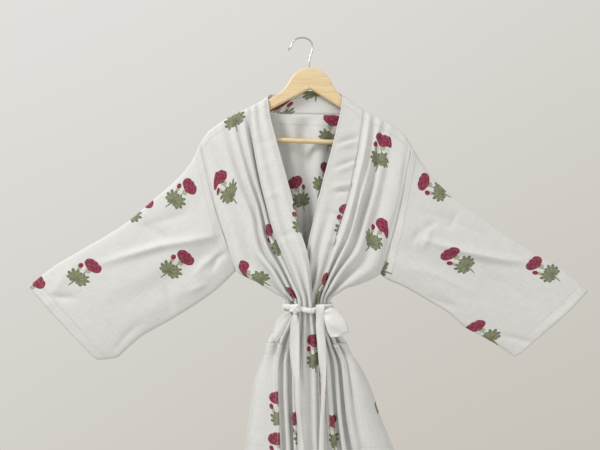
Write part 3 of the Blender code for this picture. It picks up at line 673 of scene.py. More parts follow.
def frontRows(left):
    side = "left" if left else "right"
    bands = leftBandRows if left else rightBandRows
    columns = shell["columnsPerFold"] * len(folds[side])
    rows = [hang(frontLine(r, b, left), r["wf"], folds[side], columns, calmBy(r["calm"], (side,)))
            for r, b in zip(bodyRows, bands)]
    return np.array([eased(points, r, left) for points, r in zip(rows, bodyRows)])


def bandRows(left):
    columns = shell["bandColumnsPerFold"] * len(folds["band"])
    rows = []
    for b in leftBandRows if left else rightBandRows:
        seam = np.array([b["sx"], b["sy"], b["sz"]], float)
        edge = np.array([b["ex"], b["ey"], b["ez"]], float)
        ends = (seam, edge) if left else (edge, seam)
        rows.append(hang(np.linspace(*ends, 12), b["width"], folds["band"], columns))
    return np.array(rows)


def alongSeam(table, share):
    p = np.array(table, float)
    return pointsAt(share * (len(p) - 1), np.arange(len(p)), p)


neck = {"rows": 49, "columns": 13, "out": 0.4, "up": 0.8}


def neckRows():
    share = np.linspace(0, 1, neck["rows"])
    seams = alongSeam(neckSeam, share) + np.array([0, neck["out"], seamGap + neck["up"]])
    edges = alongSeam(neckEdge, share)
    return np.array([np.linspace(seam, edge, neck["columns"]) for seam, edge in zip(seams, edges)])


# Rows between the rows: a curve through them that never swings past one, so walls stay apart.
# Also gives where each new row is, counted in the given rows.
def fineRows(rows, every):
    gap = np.linalg.norm(np.diff(rows, axis=0), axis=2).mean(axis=1)
    rise = np.diff(rows, axis=0) / gap[:, None, None]
    before, after = rise[:-1], rise[1:]
    same = before * after > 0
    slope = np.zeros_like(rows)
    slope[0], slope[-1] = rise[0], rise[-1]
    slope[1:-1] = np.where(same, 2 * before * after / np.where(same, before + after, 1), 0)
    fine, where = [], []
    for k, length in enumerate(gap):
        steps = max(1, round(length / every))
        for t in np.arange(steps) / steps:
            a, b = 2 * t ** 3 - 3 * t ** 2 + 1, t ** 3 - 2 * t ** 2 + t
            c, d = -2 * t ** 3 + 3 * t ** 2, t ** 3 - t ** 2
            fine.append(a * rows[k] + b * length * slope[k]
                        + c * rows[k + 1] + d * length * slope[k + 1])
            where.append(k + t)
    fine.append(rows[-1])
    where.append(len(rows) - 1)
    return np.array(fine), np.array(where)


# Flat places in the cut cloth: across from the widths, and down each column from a reference row.
def cutPlaces(points, widths, reference):
    rows, columns = points.shape[:2]
    across = np.linspace(-0.5, 0.5, columns)[None, :] * np.asarray(widths)[:, None]
    steps = np.linalg.norm(np.diff(points, axis=0), axis=2)
    down = np.vstack([np.zeros(columns), np.cumsum(steps, axis=0)])
    down -= down[reference]
    return np.stack([across, -down], axis=2)


# Where the camera sees a place, on the plane of the hook: the measure of all flowers and creases.
def asSeen(points):
    x, y, z = photoView["place"]
    away = -y / (points[..., 1] - y)
    return np.stack([(points[..., 0] - x) * away + x, (points[..., 2] - z) * away + z], axis=-1)


# The print's half-drop repeat, the least distance between flowers, and a place with no print.
repeat = {"down": 150.0, "across": 205.0, "least": 98.0, "bare": 1e3}


# Places relative to the nearest flower, face by face. A flower is a place in the cut and a turn.
def flowerPlaces(corners, flowers, wrap=None, flip=False):
    middle = corners.mean(axis=1)
    best = np.full(len(corners), np.inf)
    local = np.full(corners.shape, repeat["bare"])
    for across, down, turn in flowers:
        c, s = math.cos(math.radians(turn)), math.sin(math.radians(turn))
        toward = np.array([-s, -c]) * flower["middle"]
        delta = middle - (across, down)
        shift = np.round(delta[:, 0] / wrap) * wrap if wrap else np.zeros(len(corners))
        far = np.hypot(delta[:, 0] - shift - toward[0], delta[:, 1] - toward[1])
        near = far < best
        best[near] = far[near]
        offset = corners[near] - (across, down)
        offset[:, :, 0] -= shift[near][:, None]
        local[near] = offset @ np.array([(c, s), (-s, c)]) * (-1 if flip else 1, 1)
    return local


# One flower of the photo: x and z of a point of it as seen, how far its stem leans to the right,
# and which point of it that is. It lies on the foremost cloth within 5 mm of that place. The lean
# is turned to the cut's own directions there.
def flowerOn(points, cut, flip, x, z, lean, part=(0, 0)):
    seen = asSeen(points)
    far = np.hypot(seen[..., 0] - x, seen[..., 1] - z)
    depth = np.where(far < far.min() + 5, points[..., 1], np.inf)
    j, i = np.unravel_index(depth.argmin(), depth.shape)
    window = (slice(max(j - 3, 0), j + 4), slice(max(i - 3, 0), i + 4))
    nearSeen = (seen[window] - seen[j, i]).reshape(-1, 2)
    nearCut = (cut[:, : points.shape[1]][window] - cut[j, i]).reshape(-1, 2)
    toCut = np.linalg.lstsq(nearSeen, nearCut, rcond=None)[0]
    stem = np.array([math.sin(math.radians(lean)), -math.cos(math.radians(lean))]) @ toCut
    angle = math.atan2(-stem[0], -stem[1])
    px, py = (-part[0] if flip else part[0]), part[1]
    c, s = math.cos(angle), math.sin(angle)
    return cut[j, i, 0] - (px * c + py * s), cut[j, i, 1] - (-px * s + py * c), math.degrees(angle)


# The flowers seen in the photo, and the cloth's half-drop repeat where nothing of it is seen.
def chooseFlowers(points, cut, seen, unseen, phase=(0, 0), flip=False):
    flowers = [flowerOn(points, cut, flip, *f) for f in seen]
    flat = cut[:, : points.shape[1]].reshape(-1, 2)
    hidden = unseen(points).reshape(-1)
    low, high = flat.min(axis=0), flat.max(axis=0)
    columns, rows = (np.arange(math.floor(low[k] / every) - 1, high[k] / every + 1)
                     for k, every in enumerate((repeat["across"], repeat["down"])))
    for n in rows:
        for m in columns:
            across, down = (m + 0.5 * (n % 2)) * repeat["across"], n * repeat["down"]
            place = (across + phase[0], down + phase[1])
            if not hidden[np.hypot(*(flat - place).T).argmin()]:
                continue
            if all(math.hypot(place[0] - f[0], place[1] - f[1]) > repeat["least"] for f in flowers):
                flowers.append((*place, 0.0))
    return flowers


creaseShape = {"inset": 0.04, "fade": 0.7, "sharp": 1.6}


# Creases listed as seen. A trough goes in, a ridge comes out (less than 0). Each fades out at
# its ends. Deeper and less scale them, shift moves them, and facing is -1 for cloth in front.
def creased(points, creases, deeper, less=1.0, shift=(0, 0), facing=-1):
    seen = asSeen(points)
    moved = points.copy()
    for wide, deep, *line in creases:
        line = np.array(line, float).reshape(-1, 2) + shift
        lengths = np.linalg.norm(np.diff(line, axis=0), axis=1)
        total, done = lengths.sum(), 0.0
        nearest = np.full(seen.shape[:2], np.inf)
        along = np.zeros(seen.shape[:2])
        for a, b, length in zip(line, line[1:], lengths):
            share = np.clip(((seen - a) @ (b - a)) / length ** 2, 0, 1)
            far = np.linalg.norm(seen - (a + share[..., None] * (b - a)), axis=-1)
            closer = far < nearest
            nearest = np.where(closer, far, nearest)
            along = np.where(closer, (done + share * length) / total, along)
            done += length
        inset = creaseShape["inset"]
        along = np.clip(along * (1 - 2 * inset) + inset, 0, 1)
        fade = np.sin(math.pi * along) ** creaseShape["fade"]
        near = np.exp(-(nearest / wide) ** creaseShape["sharp"])
        moved[..., 1] -= facing * (deep * deeper * less) * fade * near
    return moved


def clothObject(name, points, cut, flowers, finish, closed=False, flip=False):
    rows, columns = points.shape[:2]
    wide = columns if closed else columns - 1
    j, i = (a.ravel() for a in np.meshgrid(np.arange(rows - 1), np.arange(wide), indexing="ij"))
    nextColumn = (i + 1) % columns
    faces = np.stack([j * columns + i, j * columns + nextColumn,
                      (j + 1) * columns + nextColumn, (j + 1) * columns + i], axis=1)

    def atCorners(table):
        ring = ((j, i), (j, i + 1), (j + 1, i + 1), (j + 1, i))
        return np.stack([table[corner] for corner in ring], axis=1)

    mesh = bpy.data.meshes.new(name)
    mesh.from_pydata((points.reshape(-1, 3) * mm).tolist(), [], faces.tolist())
    wrap = cut[0, -1, 0] - cut[0, 0, 0] if closed else None
    side = np.minimum(cut[..., 0] - cut[:, :1, 0], cut[:, -1:, 0] - cut[..., 0])
    end = np.minimum(cut[:1, :, 1] - cut[..., 1], cut[..., 1] - cut[-1:, :, 1])
    if closed:
        side = side + shell["noEdge"]
    corners, edges = atCorners(cut), atCorners(np.stack([side, end], axis=-1))
    maps = {"cut": corners, "edge": edges, "flower": flowerPlaces(corners, flowers, wrap, flip)}
    for label, values in maps.items():
        layer = mesh.uv_layers.new(name=label)
        layer.data.foreach_set("uv", (values * mm).astype(np.float32).ravel())
    mesh.polygons.foreach_set("use_smooth", [True] * len(faces))
    mesh.materials.append(finish)
    obj = addObject(name, mesh)
    wall = obj.modifiers.new("clothThickness", "SOLIDIFY")
    wall.thickness = shell["thick"] * mm
    wall.offset = 0
    return obj


# Every piece hangs on the robe and stands for its solid.
def claim(obj, node):
    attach(obj, "root")
    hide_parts(node)


# Hangs the piece on the robe and hides its solid, the same as claim.
def declare(obj, node):
    claim(obj, node)


def makePanel(name, rows, widthRows, key):
    piece = panels[name]
    points, where = fineRows(rows, shell["rowEvery"])
    widths = np.interp(where, np.arange(len(widthRows)), [r[key] for r in widthRows])
    cut = cutPlaces(points, widths, int(np.abs(where - rowOf["waist"]).argmin()))
    points = creased(points, piece["creases"], shell["deeper"])
    flip = name == "back_panel"
    flowers = chooseFlowers(points, cut, piece["flowers"], piece["unseen"], piece["phase"], flip)
    obj = clothObject(name + "_cloth", points, cut, flowers, printedCotton, flip=flip)
    declare(obj, name)


# What the photo doesn't show: all below its edge, and the back but for what the neck leaves open.
photoFoot = -960
neckOpening = {"left": -160, "right": 180, "foot": -500}


def belowPhoto(points):
    return points[..., 2] < photoFoot


def outsideNeck(points):
    x, z = points[..., 0], points[..., 2]
    return (z < neckOpening["foot"]) | (x < neckOpening["left"]) | (x > neckOpening["right"])


# Flowers that the photo shows: x, z, the stem's lean to the right, and which point is meant.
# Creases: how wide and how deep, then x and z of each point.
panels = {
    "back_panel": {
        "flowers": (
            (70.6, -185.0, -13), (-17.8, -314.2, 21), (64.0, -294.0, -23),
        ),
        "creases": (
            (12, 2.0, -40, -190, -10, -260, -20, -330), (10, -1.6, 60, -200, 40, -300),
        ),
        "unseen": outsideNeck, "phase": (20, 40),
    },
    "front_left": {
        "flowers": (
            (-178.5, -301.5, 34), (-66.7, -419.5, 16), (-19.4, -559.5, 8),
            (-143.0, -170.5, 12, (0, -38)), (-12.1, -831.2, 20), (-135.0, -511.0, 55),
        ),
        "creases": (
            (9, -7.0, -186, -222, -160, -268, -134, -333, -86, -444, -30, -560),
            (8, 5.0, -172, -246, -146, -300, -112, -390, -70, -480),
            (7, 6.5, -122, -160, -104, -240, -88, -330, -66, -420),
            (9, 1.8, -206, -330, -190, -400, -160, -470), (5, 1.2, -118, -790, -84, -778),
            (5, 1.2, -114, -868, -79, -880),
        ),
        "unseen": belowPhoto, "phase": (30, 10),
    },
    "front_right": {
        "flowers": (
            (178.4, -223.3, -14), (184.0, -408.5, -38), (55.4, -525.8, -20), (76.6, -840.6, 6),
            (148.0, -818.0, 22, (-18.5, -17)),
        ),
        "creases": (
            (9, -6.5, 152, -188, 140, -260, 128, -340, 104, -430, 74, -510),
            (8, 5.5, 168, -230, 156, -320, 128, -410, 96, -480),
            (12, 3.5, 196, -214, 188, -300, 170, -380, 140, -460),
            (9, -1.8, 222, -260, 214, -340, 196, -420), (7, -3.0, 132, -823, 150, -861, 172, -901),
        ),
        "unseen": belowPhoto, "phase": (-30, 20),
    },
    "band_left": {
        "flowers": (
            (-15.2, -369.2, 5, (-17, -2)), (23.5, -666.6, 6),
        ),
        "creases": (
            (6, 1.0, -112, -236, -58, -222), (7, -1.2, -84, -352, -34, -332),
            (7, -0.9, -100, -282, -50, -270), (6, 2.0, -58, -440, -8, -424),
            (5, -2.6, 13, -492, 22, -575),
        ),
        "unseen": belowPhoto, "phase": (10, 0),
    },
    "band_right": {
        "flowers": (
            (92.0, -411.2, -8, (-16, -41)), (48.0, -772.6, 178),
        ),
        "creases": (
            (5, 4.5, 80, -230, 126, -217), (5, -4.0, 80, -239, 124, -228),
            (5, 4.5, 76, -283, 124, -265), (5, -4.0, 76, -293, 120, -276),
            (5, -4.5, 68, -329, 112, -322), (5, 3.0, 68, -338, 110, -332),
            (6, 3.0, 60, -380, 100, -398), (7, -2.2, 52, -440, 84, -452),
        ),
        "unseen": belowPhoto, "phase": (-10, 30),
    },
}
neckFlowers = ((-47.3, -150.0, 6), (28.6, -125.0, 0, (0, -46)))


def makeBody():
    makePanel("back_panel", backRows(), bodyRows, "wb")
    for side, bands in (("left", leftBandRows), ("right", rightBandRows)):
        makePanel("front_" + side, frontRows(side == "left"), bodyRows, "wf")
        makePanel("band_" + side, bandRows(side == "left"), bands, "width")
    rows = neckRows()
    widths = np.linalg.norm(rows[:, -1] - rows[:, 0], axis=1)
    cut = cutPlaces(rows, widths, 0)
    flowers = [flowerOn(rows, cut, True, *f) for f in neckFlowers]
    obj = clothObject("band_neck_cloth", rows, cut, flowers, printedCotton, flip=True)
    declare(obj, "band_neck")


# Sleeves: flat tubes from the armhole to the cuff. Each ring: x and z of its top and foot, then
# y and half its depth.
leftSleeveTable = (
    (-243, -274, -160, -528, 0.5, 11.5),
    (-273, -309, -187, -553, 1.5, 12.0),
    (-328, -357, -244, -593, 2.5, 12.0),
    (-385, -405, -299, -626, 3.5, 12.0),
    (-442, -441, -352, -656, 4.5, 12.0),
    (-495, -471, -384, -683, 5.0, 11.5),
    (-548, -503, -410, -704, 5.5, 11.0),
    (-601, -545, -449, -709, 6.0, 10.5),
)
rightSleeveTable = (
    (262, -268, 192, -531, 0.5, 11.5),
    (287, -303, 227, -546, 1.5, 12.0),
    (331, -345, 279, -576, 2.5, 12.0),
    (386, -385, 327, -605, 3.5, 12.0),
    (445, -428, 364, -637, 4.5, 12.0),
    (504, -466, 400, -656, 5.0, 11.5),
    (570, -505, 441, -680, 5.5, 11.0),
    (634, -556, 473, -702, 6.0, 10.5),
)
# A soft fold down a sleeve: where it starts and ends round the ring, its depth and width.
sleeveFolds = ((0.62, 0.42, -3.6, 0.10), (0.72, 0.58, 3.2, 0.09), (0.86, 0.80, -2.4, 0.07),
               (0.30, 0.20, 2.2, 0.12))
# The hidden side of a sleeve has the same creases, moved a little.
sleeve = {"side": 84, "square": 0.42, "rowEvery": 4.5, "out": 0.15, "seamDrop": 0.2,
          "foot": (1.0, -2.2), "foldFrom": 0.25, "foldDeep": 0.9, "deeper": 1.7,
          "backShift": (14, -16), "backLess": 0.8, "hidden": (0.6, 0.9)}
sleeves = {
    "left": {
        "flowers": (
            (-250.8, -326.7, -43), (-253.9, -487.3, -50), (-462.9, -501.2, -52),
            (-582.8, -528.9, -50), (-338.8, -367.0, -48, (15, -2)),
        ),
        "creases": (
            (9, -5.5, -187, -434, -250, -446, -310, -456, -444, -496),
            (8, 4.5, -160, -470, -186, -484, -196, -514),
            (8, -3.6, -180, -470, -216, -500, -232, -520), (7, -3.0, -207, -540, -249, -558),
            (7, 3.2, -299, -549, -290, -578, -281, -604), (9, 2.8, -350, -407, -285, -448),
            (7, 3.0, -559, -566, -495, -573), (8, 2.6, -356, -630, -384, -654, -412, -690),
            (12, 2.0, -240, -380, -300, -400, -372, -420),
            (14, -2.2, -470, -470, -520, -520, -560, -590),
        ),
    },
    "right": {
        "flowers": (
            (274.1, -311.7, 55), (328.2, -478.3, 55), (518.5, -490.6, 58), (386.1, -638.9, 52),
            (197.0, -519.0, 78, (0, -66)),
        ),
        "creases": (
            (6, 2.4, 273, -417, 299, -404), (6, 2.4, 266, -419, 244, -450),
            (6, -2.6, 286, -419, 268, -461), (6, 2.2, 347, -375, 330, -412, 314, -412),
            (8, -8.0, 280, -445, 348, -468, 436, -485, 502, -492), (8, 5.2, 280, -569, 343, -595),
            (7, 3.2, 430, -652, 456, -657, 517, -672), (8, -2.6, 526, -644, 585, -600, 616, -566),
            (12, 2.0, 260, -380, 330, -400, 420, -440), (14, 2.4, 400, -520, 450, -540, 520, -590),
            (10, -2.6, 236, -500, 300, -520, 380, -560),
        ),
    },
}


def sleeveBack(points):
    at = np.arange(points.shape[1]) / points.shape[1]
    low, high = sleeve["hidden"]
    return np.broadcast_to((at > low) & (at < high), points.shape[:2])


def armhole(left):
    rows = bodyRows[: rowOf["underarm"] + 1]
    sign = -1 if left else 1
    x, z = ("lx", "lz") if left else ("rx", "rz")
    front, back = ([(r[x] + sign * sleeve["out"], way * r["edge"], r[z] - sleeve["seamDrop"])
                    for r in rows] for way in (-1, 1))
    out, down = sleeve["foot"]
    front[0] = (front[0][0], 0.0, front[0][2])
    front[-1] = (front[-1][0] + sign * out, 0.0, front[-1][2] + down)
    ring = np.array(front + back[-2:0:-1], float)
    loop = np.vstack([ring, ring[:1]])
    sides = []
    for part in (loop[: len(front)], loop[len(front) - 1:]):
        at = alongLine(part)
        where = np.linspace(0, at[-1], sleeve["side"] + 1)
        sides.append(pointsAt(where, at, part)[:-1])
    return np.vstack(sides)


def sleeveRing(row, share):
    topX, topZ, footX, footZ, y, half = row
    top, foot = np.array([topX, y, topZ], float), np.array([footX, y, footZ], float)
    points = []
    for side, sign in (("front", -1), ("back", 1)):
        for k in range(sleeve["side"]):
            t = k / sleeve["side"] if side == "front" else 1 - k / sleeve["side"]
            out = half * (4 * t * (1 - t)) ** sleeve["square"]
            for start, end, deep, wide in sleeveFolds:
                near = math.exp(-(((t - (start + (end - start) * share)) / wide) ** 2))
                swell = math.sin(math.pi * min(1, sleeve["foldFrom"] + share))
                out -= deep * near * swell * sleeve["foldDeep"]
            points.append(top + (foot - top) * t + np.array([0, sign * out, 0]))
    return np.array(points)


def makeSleeve(side, left):
    table = leftSleeveTable if left else rightSleeveTable
    rings = [armhole(left)] + [sleeveRing(r, (i + 1) / len(table)) for i, r in enumerate(table)]
    points, _ = fineRows(np.array(rings), sleeve["rowEvery"])
    half, creases = sleeve["side"], sleeves[side]["creases"]
    fade = (np.sin(math.pi * (np.arange(half) / half)) ** 0.5)[None, :, None]    # none at the folds
    near, far = points[:, :half], points[:, half:]
    nearMoved = creased(near, creases, sleeve["deeper"])
    farMoved = creased(far, creases, sleeve["deeper"], sleeve["backLess"], sleeve["backShift"], 1)
    points = np.concatenate([near + (nearMoved - near) * fade,
                             far + (farMoved - far) * fade], axis=1)
    loops = np.concatenate([points, points[:, :1]], axis=1)
    around = np.linalg.norm(np.diff(loops, axis=1), axis=2).sum(axis=1)
    cut = cutPlaces(loops, np.full(len(loops), around.mean()), len(loops) - 1)
    flip = not left
    flowers = chooseFlowers(points, cut, sleeves[side]["flowers"], sleeveBack, flip=flip)
    obj = clothObject(f"sleeve_{side}_cloth", points, cut, flowers, printedCotton, True, flip)
    declare(obj, "sleeve_" + side)


# Patch pockets, made from the front's own places, moved out.
pocket = {"gape": {"left": 3.0, "right": 9.0}, "gapeDown": 14.0, "leastMitre": 0.3,
          "top": "pocket_top", "foot": "skirt_1", "sides": (0.04, 0.5),
          "left": ((-45.1, -784.7, 14), (-58.1, -877.6, 20)), "right": ()}


def movedOut(points, distance):
    step = np.diff(points[:, :2], axis=0)
    step /= np.linalg.norm(step, axis=1)[:, None]
    normal = np.stack([step[:, 1], -step[:, 0]], axis=1)
    before = np.vstack([normal[:1], normal])
    mitre = before + np.vstack([normal, normal[-1:]])
    mitre /= np.maximum((mitre * before).sum(axis=1), pocket["leastMitre"])[:, None]
    moved = points.copy()
    moved[:, :2] += mitre * distance
    return moved


def makePocket(side, left):
    first, foot = rowOf[pocket["top"]], rowOf[pocket["foot"]]
    rows = frontRows(left)[first: foot + 1]
    last = rows.shape[1] - 1
    start, end = sorted(round((k if left else 1 - k) * last) for k in pocket["sides"])
    points, _ = fineRows(rows, shell["rowEvery"])
    mouth = pocket["gape"][side] * np.sin(math.pi * np.linspace(0, 1, points.shape[1])) ** 2
    points = np.array([movedOut(p, pocketLift)[start: end + 1] for p in points])
    fall = np.exp(-(np.arange(len(points)) * shell["rowEvery"] / pocket["gapeDown"]) ** 2)
    points[..., 1] -= fall[:, None] * mouth[None, start: end + 1]
    widths = np.linalg.norm(np.diff(points, axis=1), axis=2).sum(axis=1)
    cut = cutPlaces(points, widths, 0)
    flowers = chooseFlowers(points, cut, pocket[side], belowPhoto)
    obj = clothObject(f"pocket_{side}_cloth", points, cut, flowers, printedCotton)
    declare(obj, "pocket_" + side)


# The belt: a turn round the waist, a knot, two bow loops and two ends. Each row of an end: x, y
# and z of its left edge, then of its right one.
tailLeft = (
    (-19, -60.0,  -603.3,  -7, -60.0,  -603.3),
    (-22, -59.5,  -620,  -3, -59.0,  -620),
    (-24, -59.0,  -660,  -3, -57.5,  -660),
    (-20, -59.5,  -706,  -3, -58.0,  -708),
    (-13, -60.5,  -734,  -1, -57.5,  -739),
    (-12, -61.0,  -775,   0, -57.0,  -775),
    ( -8, -61.5,  -827,   2, -56.5,  -827),
    ( -7, -60.5,  -880,   6, -57.0,  -880),
    ( -9, -59.5,  -960,  11, -57.5,  -960),
    (-10, -59.0, -1070,  14, -58.0, -1064),
)
tailRight = (
    ( 32, -44.5,  -580,  49, -41.0,  -579),
    ( 32, -48.0,  -578,  49, -45.0,  -577),
    ( 31, -53.0,  -578,  49, -50.5,  -577),
    ( 31, -56.8,  -584,  49, -54.8,  -583),
    ( 31, -57.2,  -600,  50, -55.2,  -600),
    ( 31, -57.5,  -621,  50, -56.0,  -622),
    ( 34, -57.5,  -660,  52, -55.5,  -660),
    ( 37, -57.5,  -696,  53, -55.5,  -696),
    ( 41, -57.5,  -730,  52, -55.5,  -730),
    ( 41, -58.0,  -775,  50, -55.5,  -775),
    ( 39, -58.0,  -827,  48, -55.0,  -827),
    ( 37, -58.0,  -880,  48, -55.0,  -880),
    ( 36, -57.5,  -960,  54, -55.0,  -960),
    ( 35, -57.0, -1052,  57, -55.0, -1058),
)
# The left end starts as a pinched fold under the knot.
tailTop = (-16.5, -59.5, -594.5, -9.5, -59.5, -594.5)
ribbon = {"across": 13, "every": 3.0, "cup": 1.7, "cupEvery": 1.3, "cupFrom": 0.6}


def ribbonRows(table):
    rows, s = [], np.linspace(-1, 1, ribbon["across"])
    for k, r in enumerate(table):
        points = np.linspace(r[:3], r[3:], ribbon["across"])
        wave = math.sin(ribbon["cupEvery"] * k + ribbon["cupFrom"])
        points[:, 1] -= ribbon["cup"] * (1 - s ** 2) * wave
        rows.append(points)
    return np.array(rows)


def makeRibbon(name, rows):
    points, _ = fineRows(rows, ribbon["every"])
    cut = cutPlaces(points, np.linalg.norm(points[:, -1] - points[:, 0], axis=1), 0)
    obj = clothObject(name + "_cloth", points, cut, [], plainCotton)
    declare(obj, name)


# A bow loop: x and z of its upper and lower edge, from the knot to the tip.
# The front swells between its edges, and its tip is round.
loops = {
    "left": {"upper": ((-24, -588), (-47, -604), (-57.5, -632), (-56, -646)),
             "lower": ((-20, -596), (-25, -609), (-38, -638), (-46, -648)),
             "front": -62.6, "turn": 3.4, "swell": 3.2, "tip": 3.5, "crumple": 0.9, "lean": -3.0},
    "right": {"upper": ((49.5, -587.5), (67, -584), (91, -606), (100, -630)),
              "lower": ((47.5, -602), (50, -614), (54, -629), (59.5, -640)),
              "front": -61.0, "turn": 4.0, "swell": 4.0, "tip": 3.0, "crumple": 2.4, "lean": 3.0},
}


bow = {"steps": 5, "turnSteps": 8, "swellFrom": 0.12, "swellOver": 0.8, "ripples": (7, 3.1)}


# Stations lead out along the front, round the tip, and back behind.
def loopRows(loop):
    upper, lower = (curveThrough(loop[k], bow["steps"]) for k in ("upper", "lower"))
    stations, turns = len(upper), bow["turnSteps"]
    s = np.linspace(-1, 1, ribbon["across"])[:, None]
    ahead = upper[-1] + lower[-1] - upper[-3] - lower[-3]
    ahead /= np.linalg.norm(ahead)
    rows = []
    for k in range(2 * stations - 1 + turns):
        if k < stations:
            at, out, behind = k, 0.0, 0.0
        elif k < stations + turns - 1:
            angle = math.pi * (k - stations + 1) / turns
            at, out, behind = stations - 1, math.sin(angle), (1 - math.cos(angle)) / 2
        else:
            at, out, behind = 2 * stations - 2 + turns - k, 0.0, 1.0
        t = at / (stations - 1)
        flat = upper[at] + (lower[at] - upper[at]) * (s + 1) / 2
        flat = flat + ahead * (1 - s ** 2) * loop["tip"] * t ** 3 + ahead * out * loop["turn"]
        grown = math.sin(math.pi * min(1.0, bow["swellFrom"] + bow["swellOver"] * t))
        swell = loop["swell"] * (1 - s ** 2) * grown
        outward, across = bow["ripples"]
        wave = np.sin(outward * t + across * s + (2 if k >= stations else 0))
        wrinkle = loop["crumple"] * wave * (1 - s ** 2) ** 0.5
        swell = swell if behind > 0.5 else -swell
        y = loop["front"] + 2 * loop["turn"] * behind + swell + wrinkle
        y = y + loop["lean"] * -s
        rows.append(np.column_stack([flat[:, 0], y[:, 0], flat[:, 1]]))
    return np.array(rows)


def atHeight(rows, z):
    columns = np.swapaxes(rows, 0, 1)
    return np.array([[np.interp(-z, -c[:, 2], c[:, k]) for k in range(2)] for c in columns])


# A turn is flat behind and a thicker, twisted rope in front, which sags at its middle.
waistTurn = {"flat": 9.5, "twist": 6.0, "thin": 1.2, "thick": 3.2, "room": 1.2, "finer": 1.2,
             "rise": 3.0, "sag": 4.5, "sagX": 20, "sagWide": 17, "strand": 0.26, "lay": 17,
             "frontFrom": 0.75, "steps": 180, "around": 24}


def makeWaistTurn():
    near, turn = slice(rowOf["underarm"], rowOf["pocket_low"] + 1), waistTurn
    pieces = [backRows(), frontRows(True), frontRows(False), bandRows(True), bandRows(False)]
    heights = np.linspace(waistZ - turn["flat"], waistZ + turn["flat"], 5)
    bundle = np.vstack([atHeight(rows[near], z) for rows in pieces for z in heights])
    rings = []
    for a in np.linspace(0, 2 * math.pi, turn["steps"] + 1):
        front = min(1.0, max(0.0, turn["frontFrom"] - math.sin(a)) ** 3)
        high = turn["flat"] + (turn["twist"] - turn["flat"]) * front - turn["finer"] * front
        thick = turn["thin"] + (turn["thick"] - turn["thin"]) * front
        out = np.array([math.cos(a), math.sin(a)])
        far = bundle[(bundle @ out).argmax()]
        place = far + out * (turn["room"] + thick)
        dip = math.exp(-((far[0] - turn["sagX"]) / turn["sagWide"]) ** 2)
        sag = (turn["rise"] - turn["sag"] * dip) * front
        ring = []
        for m in range(turn["around"] + 1):
            b = -2 * math.pi * (m + 0.5) / turn["around"]
            twist = 1 + turn["strand"] * front * math.cos(2 * b + turn["lay"] * a)
            ring.append([*(place + out * thick * math.cos(b) * twist),
                         waistZ + sag + high * math.sin(b) * twist])
        rings.append(ring)
    rings = np.array(rings)
    cut = cutPlaces(rings, np.linalg.norm(np.diff(rings, axis=1), axis=2).sum(axis=1), 0)
    obj = clothObject("belt_waist_cloth", rings[:, :-1], cut, [], plainCotton, closed=True)
    declare(obj, "belt_waist")


# The knot: a ball with ridges that run round it and a peak at its upper right.
knot = {"place": (-13.0, -58.3, -586.0), "half": (10.4, 6.5, 10.08), "strand": 0.16, "strands": 5,
        "swirl": 2.4, "from": 0.8, "peak": 0.22, "peakAt": 1.35}


def makeKnot():
    bm = bmesh.new()
    bmesh.ops.create_uvsphere(bm, u_segments=96, v_segments=56, radius=1)
    for vert in bm.verts:
        around = math.atan2(vert.co.z, vert.co.x)
        wide = math.hypot(vert.co.x, vert.co.z)
        turn = knot["strands"] * around + knot["swirl"] * wide + knot["from"]
        strand = knot["strand"] * math.sin(turn)
        ridge = 1 + strand * wide + knot["peak"] * max(0, math.cos(around - knot["peakAt"])) ** 4
        swell = (ridge, 1 + 0.5 * strand, ridge)
        vert.co = [(middle + half * v * s) * mm
                   for middle, half, v, s in zip(knot["place"], knot["half"], vert.co, swell)]
    mesh = meshFrom("belt_knot_cloth", bm, plainCotton)
    mesh.polygons.foreach_set("use_smooth", [True] * len(mesh.polygons))
    claim(addObject("belt_knot_cloth", mesh), "belt_knot")


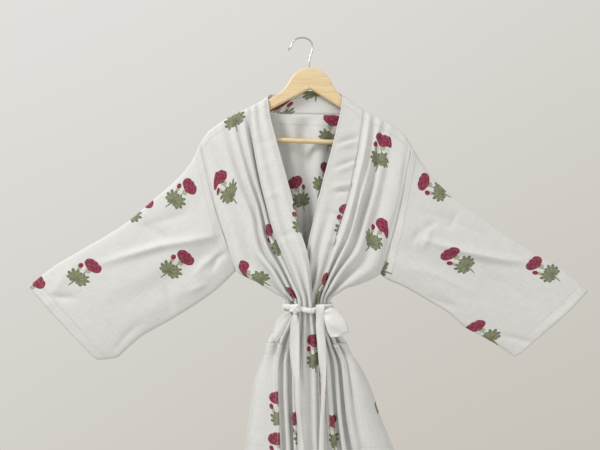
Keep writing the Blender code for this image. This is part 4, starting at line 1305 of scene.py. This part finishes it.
# The hanger: its wood keeps the solids' shape, and its hook is a finer bend of the same wire.
hookLine = (
    (18.4, -82), (18.4, -64), (18.0, -54), (19.8, -41), (24.4, -28), (24.9, -17), (21.6, -6.5),
    (13.2, -0.2), (0.5, 1.9), (-11, -1.5), (-18.6, -10), (-23.0, -20.5), (-28.6, -25),
)
hanger = {"wire": 1.9, "wood": (0.74, 0.585, 0.36, 1), "woodDark": (0.64, 0.475, 0.265, 1),
          "woodRough": 0.42, "grain": (260, 4.0, 0.6), "grainReach": (0.35, 0.75),
          "steel": (0.5, 0.5, 0.5, 1), "steelPale": (0.62, 0.62, 0.61, 1), "specks": (900, 2.0),
          "steelRough": (0.3, 0.7, 0.22, 0.34)}


def makeWood():
    paint, tree = newPaint("paleBeech")
    place = tree.nodes.new("ShaderNodeTexCoord").outputs["Object"]
    run = vectorCalc(tree, "MULTIPLY", place, (0.06, 1, 1))    # the grain runs from side to side
    share = remap(tree, noise(tree, run, *hanger["grain"])["Fac"], *hanger["grainReach"])
    colour = mixColour(tree, share, hanger["wood"], hanger["woodDark"])
    finishPaint(tree, {"Roughness": hanger["woodRough"], "Base Color": colour})
    return paint


def makeSteel():
    paint, tree = newPaint("brightWire")
    place = tree.nodes.new("ShaderNodeTexCoord").outputs["Object"]
    speck = noise(tree, place, *hanger["specks"])["Fac"]
    finishPaint(tree, {
        "Metallic": 1.0, "Roughness": remap(tree, speck, *hanger["steelRough"]),
        "Base Color": mixColour(tree, speck, hanger["steel"], hanger["steelPale"]),
    })
    return paint


def makeHanger():
    wood = makeWood()
    for name in ("hanger_yoke", "hanger_bar"):
        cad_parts[name].data.materials.clear()
        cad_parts[name].data.materials.append(wood)
    line = curveThrough(hookLine, 12)
    curve = bpy.data.curves.new("hook_wire", "CURVE")
    curve.dimensions = "3D"
    curve.bevel_depth = hanger["wire"] * mm
    curve.bevel_resolution = 6
    curve.use_fill_caps = True
    spline = curve.splines.new("POLY")
    spline.points.add(len(line) - 1)
    for point, (x, z) in zip(spline.points, line):
        point.co = (x * mm, 0, z * mm, 1)
    spline.use_smooth = True
    curve.materials.append(makeSteel())
    claim(addObject("hook_wire", curve), "hanger_hook")


makeBody()
for side, left in (("left", True), ("right", False)):
    makeSleeve(side, left)
    makePocket(side, left)
print("robe sewn")

makeWaistTurn()
makeKnot()
makeRibbon("belt_tail_left", ribbonRows((tailTop,) + tailLeft))
makeRibbon("belt_tail_right", ribbonRows(tailRight))
makeRibbon("belt_loop_left", loopRows(loops["left"]))
makeRibbon("belt_loop_right", loopRows(loops["right"]))
print("belt tied")

makeHanger()
print("hanger ready")
